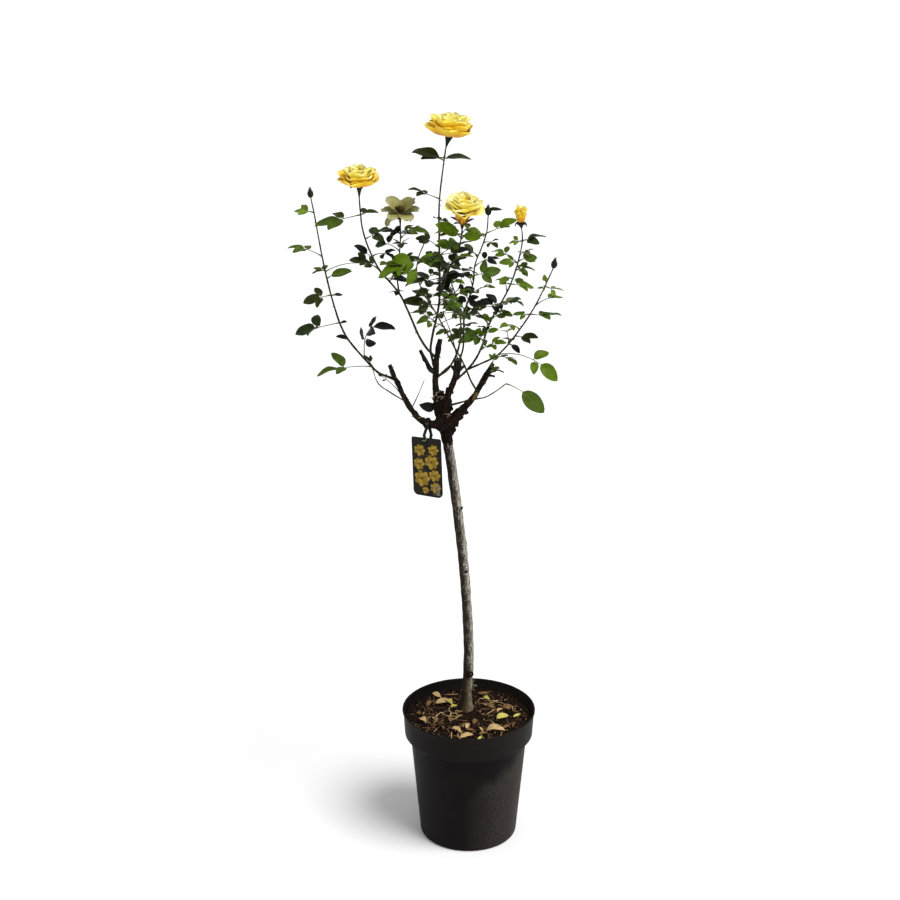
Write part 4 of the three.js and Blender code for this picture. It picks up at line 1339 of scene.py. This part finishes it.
def make_flowers():
    calyxes = Piece()
    make_blooms(calyxes)
    make_faded_bloom(calyxes)
    make_buds(calyxes)
    calyxes.make("calyxes", [calyx_green, calyx_under], ["left_bud", "right_bud"])


# ---------------------------------------------------------------- pot and compost
POT_SEGMENTS = 120
SOIL_SEGMENTS = 150
SOIL_RINGS = 46
SOIL_DEPTH = 22 * MM                 # how far down the compost's skin goes
MOUND_REACH = 22 * MM
CRUMBS = 900
STRAWS = 120
STRAW_REACH = 93 * MM                # how far from the pot's axis a straw's middle may lie
CHIPS = 560
CHIP_REACH = 108 * MM
# The rolled rim from outside to inside, as places in mm inwards from its edge and down from its top.
RIM_SECTION = [(1.9, 6), (1.5, 4), (0.3, 3.2), (0, 2), (0.2, 0.6), (1, 0), (2.2, 0.4), (3, 3)]


def lathe(piece, profile, segments, uneven=None):
    """A closed skin turned about the pot's axis, its profile running outwards, up and back to the axis."""
    points = []
    starts = []
    for radius, height in profile:
        starts.append(len(points))
        if radius == 0:
            points.append(Vector((0, 0, height)))
            continue
        for j in range(segments):
            bearing = 2 * math.pi * j / segments
            spot = Vector((radius * math.cos(bearing), radius * math.sin(bearing), height))
            points.append(uneven(spot) if uneven else spot)
    faces = []
    for i, (low, high) in enumerate(zip(starts, starts[1:])):
        for j, k in round_pairs(segments):
            if profile[i][0] == 0:
                faces.append([low, high + k, high + j])
            elif profile[i + 1][0] == 0:
                faces.append([low + j, low + k, high])
            else:
                faces.append([low + j, low + k, high + k, high + j])
    piece.add(points, faces)


def make_pot():
    _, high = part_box("pot")
    rim = high[0]
    top = high[2]
    wall = 2.2 * MM
    collar = top - 48 * MM
    collar_foot = 116 * MM
    body_top = 106 * MM
    foot = 88.5 * MM
    bend = 5 * MM                    # the radius of the bottom edge
    profile = [(0, 0), (62 * MM, 0), (64 * MM, 1.2 * MM), (74 * MM, 1.2 * MM), (76 * MM, 0), (foot - bend, 0)]
    for k in range(1, 6):
        angle = math.radians(18 * k)
        profile.append((foot - bend + bend * math.sin(angle), bend - bend * math.cos(angle)))
    for share in (0.1, 0.3, 0.5, 0.7, 0.86, 0.95):
        profile.append((foot + (body_top - foot) * share, bend + (collar - bend) * share))
    profile += [(body_top, collar - 2 * MM), (body_top + 1.5 * MM, collar - 0.3 * MM),
                (collar_foot - 1.2 * MM, collar - 0.1 * MM), (collar_foot, collar + 1.2 * MM),
                (collar_foot + 0.3 * MM, collar + 5 * MM)]
    profile += [(rim - inwards * MM, top - down * MM) for inwards, down in RIM_SECTION]
    profile += [(collar_foot - wall, collar + wall), (body_top - wall, collar + wall - 0.4 * MM),
                (foot - wall, 4 * MM), (0, 4 * MM)]
    piece = Piece()
    lathe(piece, profile, POT_SEGMENTS)
    piece.make("pot_shell", [pot_plastic()], ["pot"])


def soil_height(x, y, level):
    """The compost's uneven top, pulled up a little to the stem."""
    rise = 1.6 * noise.noise(Vector((x * 28, y * 28, 0.3))) + 0.9 * noise.noise(Vector((x * 95, y * 95, 4)))
    foot = limbs["trunk"].points[0]
    stem = math.exp(-(math.hypot(x - foot.x, y - foot.y) / MOUND_REACH) ** 2)
    return level + (rise - 0.8 + 2.2 * stem) * MM


def make_soil():
    _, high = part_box("soil")
    level = high[2] - 0.6 * MM
    edge = high[0] + 0.2 * MM
    piece = Piece()
    profile = [(0, level - SOIL_DEPTH), (edge - 3 * MM, level - SOIL_DEPTH)]
    profile += [(edge * (1 - k / SOIL_RINGS), level) for k in range(SOIL_RINGS)]
    profile.append((0, soil_height(0, 0, level)))

    def uneven(spot):
        if spot.z < level - 1 * MM:
            return spot
        crumb = 1.1 * MM * noise.noise(Vector((spot.x * 260, spot.y * 260, 9)))
        return Vector((spot.x, spot.y, soil_height(spot.x, spot.y, level) + crumb))
    lathe(piece, profile, SOIL_SEGMENTS, uneven)
    rng = random.Random(15)
    for _ in range(CRUMBS):
        reach = math.sqrt(rng.uniform(0.02, 0.93)) * edge
        bearing = any_angle(rng)
        x, y = reach * math.cos(bearing), reach * math.sin(bearing)
        size = rng.uniform(0.7, 2.3) * MM
        centre = Vector((x, y, soil_height(x, y, level) + size * 0.3))
        way = scatter(rng).normalized()
        half = way * size * rng.uniform(0.6, 1.8)
        tube(piece, [centre - half, centre - half * 0.3, centre + half * 0.4, centre + half],
             [size * 0.4, size, size * 0.9, size * 0.35], 5)
    piece.make("compost_surface", [compost()], ["soil"])
    return level


SPROUT_HEIGHT = 0.262
SPROUT_LEAVES = 9
WEED = 3                             # the sprout's number among the litter's materials
# Fallen leaves: place across and away from the viewer in mm, heading in degrees, length in mm, tone number.
LITTER = [(-44, 50, 12, 34, 1), (-34, 44, -62, 26, 2), (-26, 28, 20, 14, 2), (62, -8, 14, 24, 2),
          (88, -4, 24, 16, 2), (-52, -52, -58, 26, 0), (-22, -66, -50, 26, 1), (-2, -44, 80, 18, 1),
          (50, -64, -6, 38, 1), (30, -76, 24, 20, 0), (20, -88, 70, 20, 2), (-4, -80, 20, 26, 1),
          (-82, -22, -66, 24, 1), (-90, 6, -70, 18, 0), (72, 22, -30, 22, 0), (58, 14, 40, 16, 1),
          (36, 64, -60, 20, 2), (30, 82, 10, 20, 0), (-8, 72, 30, 18, 0), (12, -26, 70, 18, 0),
          (-60, 78, 140, 20, 1), (84, -38, 70, 18, 0), (-34, -20, 100, 18, 0), (2, -62, -30, 20, 0),
          (40, 30, 160, 16, 0), (-74, 46, 60, 18, 0), (20, -58, 120, 16, 1), (66, -46, 30, 16, 0)]


def resting_place(rng, level, furthest, lift):
    """A random place on the compost, and a level heading there."""
    reach = math.sqrt(rng.uniform(0.04, 0.96)) * furthest
    bearing = any_angle(rng)
    x, y = reach * math.cos(bearing), reach * math.sin(bearing)
    way = level_way(any_angle(rng), rng.uniform(-0.1, 0.2))
    return Vector((x, y, soil_height(x, y, level) + lift)), way


def make_litter(level):
    tones = [mottled("dead_leaf_tan", (118, 88, 58), 0.8, 0.35, 200, 0.3 * MM),
             mottled("dead_leaf_pale", (188, 158, 110), 0.8, 0.25, 200, 0.3 * MM),
             mottled("dead_leaf_yellow", (196, 186, 98), 0.7, 0.2, 200, 0.3 * MM),
             mottled("weed_green", (84, 98, 66), 0.7, 0.25, 200),
             mottled("dead_leaf_brown", (70, 46, 34), 0.85, 0.35, 200, 0.3 * MM)]
    rng = random.Random(31)
    blades = Piece()
    for x, y, heading, length, tone in LITTER:
        x, y, length = x * MM, y * MM, length * MM
        way = level_way(math.radians(heading), rng.uniform(0.0, 0.25))
        base = Vector((x, y, soil_height(x, y, level) + rng.uniform(3.5, 5.5) * MM))
        leaflet(blades, base - way * length * 0.5, way, UP + Vector((rng.uniform(-1, 1), -0.3, 0)), length,
                length * rng.uniform(0.28, 0.5), (tone, tone), rng, curl=rng.uniform(1.4, 3.6))
    for _ in range(STRAWS):
        centre, way = resting_place(rng, level, STRAW_REACH, 1.8 * MM)
        half = way * rng.uniform(4, 17) * MM
        bow = Vector((rng.uniform(-3, 3), rng.uniform(-3, 3), rng.uniform(0, 3))) * MM
        thick = rng.uniform(0.35, 0.9) * MM
        run = smooth_run([centre - half, centre - half * 0.3 + bow, centre + half * 0.4 - bow * 0.5,
                          centre + half], 3)
        tube(blades, run, [thick] * len(run), 5, rng.choice((0, 0, 1, 4)))
    for _ in range(CHIPS):
        centre, way = resting_place(rng, level, CHIP_REACH, 1.2 * MM)
        size = rng.uniform(0.8, 2.6) * MM
        side = way.cross(UP).normalized() * size * 0.5
        flake = [centre - way * size, centre - side, centre + way * size, centre + side]
        sides = [[j, k, 4 + k, 4 + j] for j, k in round_pairs(4)]
        blades.add(flake + [corner - UP * 0.5 * MM for corner in flake], [[3, 2, 1, 0], [4, 5, 6, 7]] + sides,
                   rng.choice((0, 0, 1, 4, 4)))
    trunk = limbs["trunk"]
    foot = trunk.points[trunk.at_height(SPROUT_HEIGHT)] + Vector((trunk.radii[0] * 0.5, 0.002, -0.006))
    for k in range(SPROUT_LEAVES):
        bearing = rng.uniform(-1.3, 1.3)
        way = Vector((math.cos(bearing), 0.6 * math.sin(bearing), rng.uniform(0.1, 1.5)))
        base = foot + Vector((0, 0, k * 2.6)) * MM
        leaflet(blades, base, way, UP + Vector((0, -0.6, 0)), rng.uniform(10, 17) * MM,
                rng.uniform(3, 5) * MM, (WEED, WEED), rng)
    blades.make("leaf_litter", tones)


# ---------------------------------------------------------------- hanging label
CARD_LEAN = math.radians(-2)
CARD_TURN = math.radians(-25)
CARD_SIZE = (56 * MM, 105 * MM)
# The card's corners: the middle of each one's arc from the card's top left, its radius and its first angle.
CARD_CORNERS = [(3, 3, 3, 180), (53, 3, 3, 270), (47, 98, 9, 0), (9, 96.5, 9, 90)]
CARD_FLOWERS = [(15, 23, 10), (41, 21, 9), (37, 43, 12), (13, 48, 10), (18, 74, 14), (42, 67, 10),
                (43, 89, 9), (24, 95, 6)]        # places and sizes in mm
WORN_SPECKS = 60                     # at the card's lower right corner
# The tie that holds the card to its strap: places across and down the card and out from it.
CARD_TIE = [(21, 6, 0.4), (24, 4, 2.2), (28, 4.4, 2.6), (30, -1, 2.2), (26, -5, 0.6)]
# Name, colour, roughness, unevenness and the scale of its patches.
CARD_TONES = [("dark", (22, 20, 12), 0.36, 0.45, 90), ("yellow", (150, 126, 42), 0.4, 0.3, 500),
              ("ochre", (124, 100, 30), 0.4, 0.3, 500), ("orange", (96, 50, 22), 0.4, 0.3, 500),
              ("leaf", (58, 36, 24), 0.4, 0.3, 300), ("worn", (112, 104, 88), 0.7, 0.3, 300),
              ("tie", (120, 138, 96), 0.5, 0.2, 300)]


def make_label():
    low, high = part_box("label_card")
    centre = (Vector(low) + Vector(high)) / 2
    turn = Matrix.Rotation(CARD_TURN, 3, "Z")
    right = turn @ Vector((math.cos(CARD_LEAN), 0, -math.sin(CARD_LEAN)))
    down = turn @ Vector((-math.sin(CARD_LEAN), 0, -math.cos(CARD_LEAN)))
    front_way = down.cross(right)
    width, height = CARD_SIZE
    corner = centre - right * width / 2 - down * height / 2
    thick = 0.4 * MM
    piece = Piece()

    def on_card(x, y, lift):
        bow = 1.2 * MM * math.cos(math.pi * (x / width - 0.5)) - 0.6 * MM
        return corner + right * x + down * y + front_way * (lift + bow)

    rim = []
    for x, y, radius, first in CARD_CORNERS:
        for k in range(7):
            angle = math.radians(first + 15 * k)
            rim.append((x * MM + radius * MM * math.cos(angle), y * MM + radius * MM * math.sin(angle)))
    count = len(rim)
    pairs = round_pairs(count)
    front = [on_card(x, y, thick) for x, y in rim]
    back = [on_card(x, y, -thick) for x, y in rim]
    piece.add(front + [on_card(width / 2, height / 2, thick)], [[count, k, j] for j, k in pairs])
    piece.add(back + [on_card(width / 2, height / 2, -thick)], [[count, j, k] for j, k in pairs])
    piece.add(front + back, [[j, k, count + k, count + j] for j, k in pairs])

    def disc(x, y, radius, lift, finish, points=14, squash=1.0, turn=0.0):
        """A flat disc on the card, its place, radius and lift over the card's face in mm."""
        lift = thick + lift * MM
        spots = [on_card(x * MM, y * MM, lift)]
        for k in range(points):
            angle = 2 * math.pi * k / points
            a, b = radius * MM * math.cos(angle), radius * MM * squash * math.sin(angle)
            spots.append(on_card(x * MM + a * math.cos(turn) - b * math.sin(turn),
                                 y * MM + a * math.sin(turn) + b * math.cos(turn), lift - 0.02 * MM))
        piece.add(spots, [[0, 1 + k, 1 + j] for j, k in round_pairs(points)], finish)

    rng = random.Random(8)
    for x, y, size in CARD_FLOWERS:
        for _ in range(3):
            angle = any_angle(rng)
            leaf_x = min(48, max(8, x + 1.1 * size * math.cos(angle)))
            disc(leaf_x, y + 1.1 * size * math.sin(angle), size * 0.42, 0.05, 4, squash=0.4, turn=angle)
        for ring, (petals, out, petal_size) in enumerate(((7, 0.68, 0.42), (5, 0.36, 0.36))):
            for k in range(petals):
                angle = 2 * math.pi * (k + rng.uniform(-0.1, 0.1)) / petals + ring
                disc(x + out * size * math.cos(angle), y + out * size * math.sin(angle), size * petal_size,
                     0.1 + 0.12 * ring + 0.012 * k, 1 + (k + ring) % 2, squash=0.8, turn=angle)
        disc(x, y, size * 0.2, 0.34, 3)
    for _ in range(WORN_SPECKS):
        reach = 20 * rng.random() ** 1.5
        angle = math.radians(rng.uniform(0, 90))
        disc(51 - reach * math.cos(angle), 102 - reach * math.sin(angle), rng.uniform(0.4, 1.4), 0.46, 5, 6)
    tie = smooth_run([on_card(x * MM, y * MM, lift * MM) for x, y, lift in CARD_TIE], 4)
    tube(piece, tie, [0.7 * MM] * len(tie), 6, 6)
    card_materials = [mottled("card_" + name, colour, roughness, spread, scale)
                      for name, colour, roughness, spread, scale in CARD_TONES]
    piece.make("label_print", card_materials, ["label_card"], LABEL)
    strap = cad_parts["label_strap"]
    strap.data.materials.clear()
    strap.data.materials.append(mottled("strap_green", (9, 22, 20), 0.45, 0.4, 200, 0.1 * MM))


# ---------------------------------------------------------------- stage, light and camera
CAMERA_PLACE = (-0.034, -2.80, 1.70)
CAMERA_PITCH = 18.91                 # degrees below level
FOCAL_PIXELS = 1717
PICTURE_PIXELS = 900                 # the picture's width, for which the focal length holds
SENSOR = 36.0
FLOOR = 60                           # half the white floor's side
CEILING = 0.45                       # the room's light from above; its walls give 1
KEY_FROM = (0.75, -0.55, 1.45)
KEY_STRENGTH = 2.8
KEY_SOFTNESS = math.radians(34)


def make_stage():
    mesh = bpy.data.meshes.new("floor")
    corners = [(-FLOOR, -FLOOR, 0), (FLOOR, -FLOOR, 0), (FLOOR, FLOOR, 0), (-FLOOR, FLOOR, 0)]
    mesh.from_pydata(corners, [], [(0, 1, 2, 3)])
    floor = add_object("floor", mesh)
    white = Finish("floor_white", 0.9, 0.5)
    white.shader.inputs["Base Color"].default_value = (0.9, 0.9, 0.9, 1)
    mesh.materials.append(white.material)
    world = bpy.data.worlds.new("white_room")
    room = Nodes(world)
    background = room.nodes["Background"]
    background.inputs["Color"].default_value = WHITE
    upwards = room.parts(room.nodes.new("ShaderNodeTexCoord").outputs["Generated"])["Z"]
    room.links.new(room.between(upwards, 0.25, 0.45, 1.0, CEILING), background.inputs["Strength"])
    bpy.context.scene.world = world
    key = bpy.data.lights.new("key", "SUN")
    key.energy = KEY_STRENGTH
    key.angle = KEY_SOFTNESS
    add_object("key", key).rotation_euler = Vector(KEY_FROM).to_track_quat("Z", "Y").to_euler()
    bpy.context.scene.view_settings.view_transform = "Standard"


def make_camera():
    camera = bpy.data.cameras.new("camera")
    camera.sensor_width = SENSOR
    camera.lens = FOCAL_PIXELS / PICTURE_PIXELS * SENSOR
    camera_object = add_object("camera", camera)
    camera_object.location = CAMERA_PLACE
    camera_object.rotation_euler = (math.radians(90 - CAMERA_PITCH), 0, 0)
    bpy.context.scene.camera = camera_object


make_camera()
make_stage()
make_trunk()
make_canes()
make_union()
make_shoots()
make_bare_twigs()
make_scraps()
make_prickles()
make_leaves()
make_flowers()
make_pot()
make_litter(make_soil())
make_label()
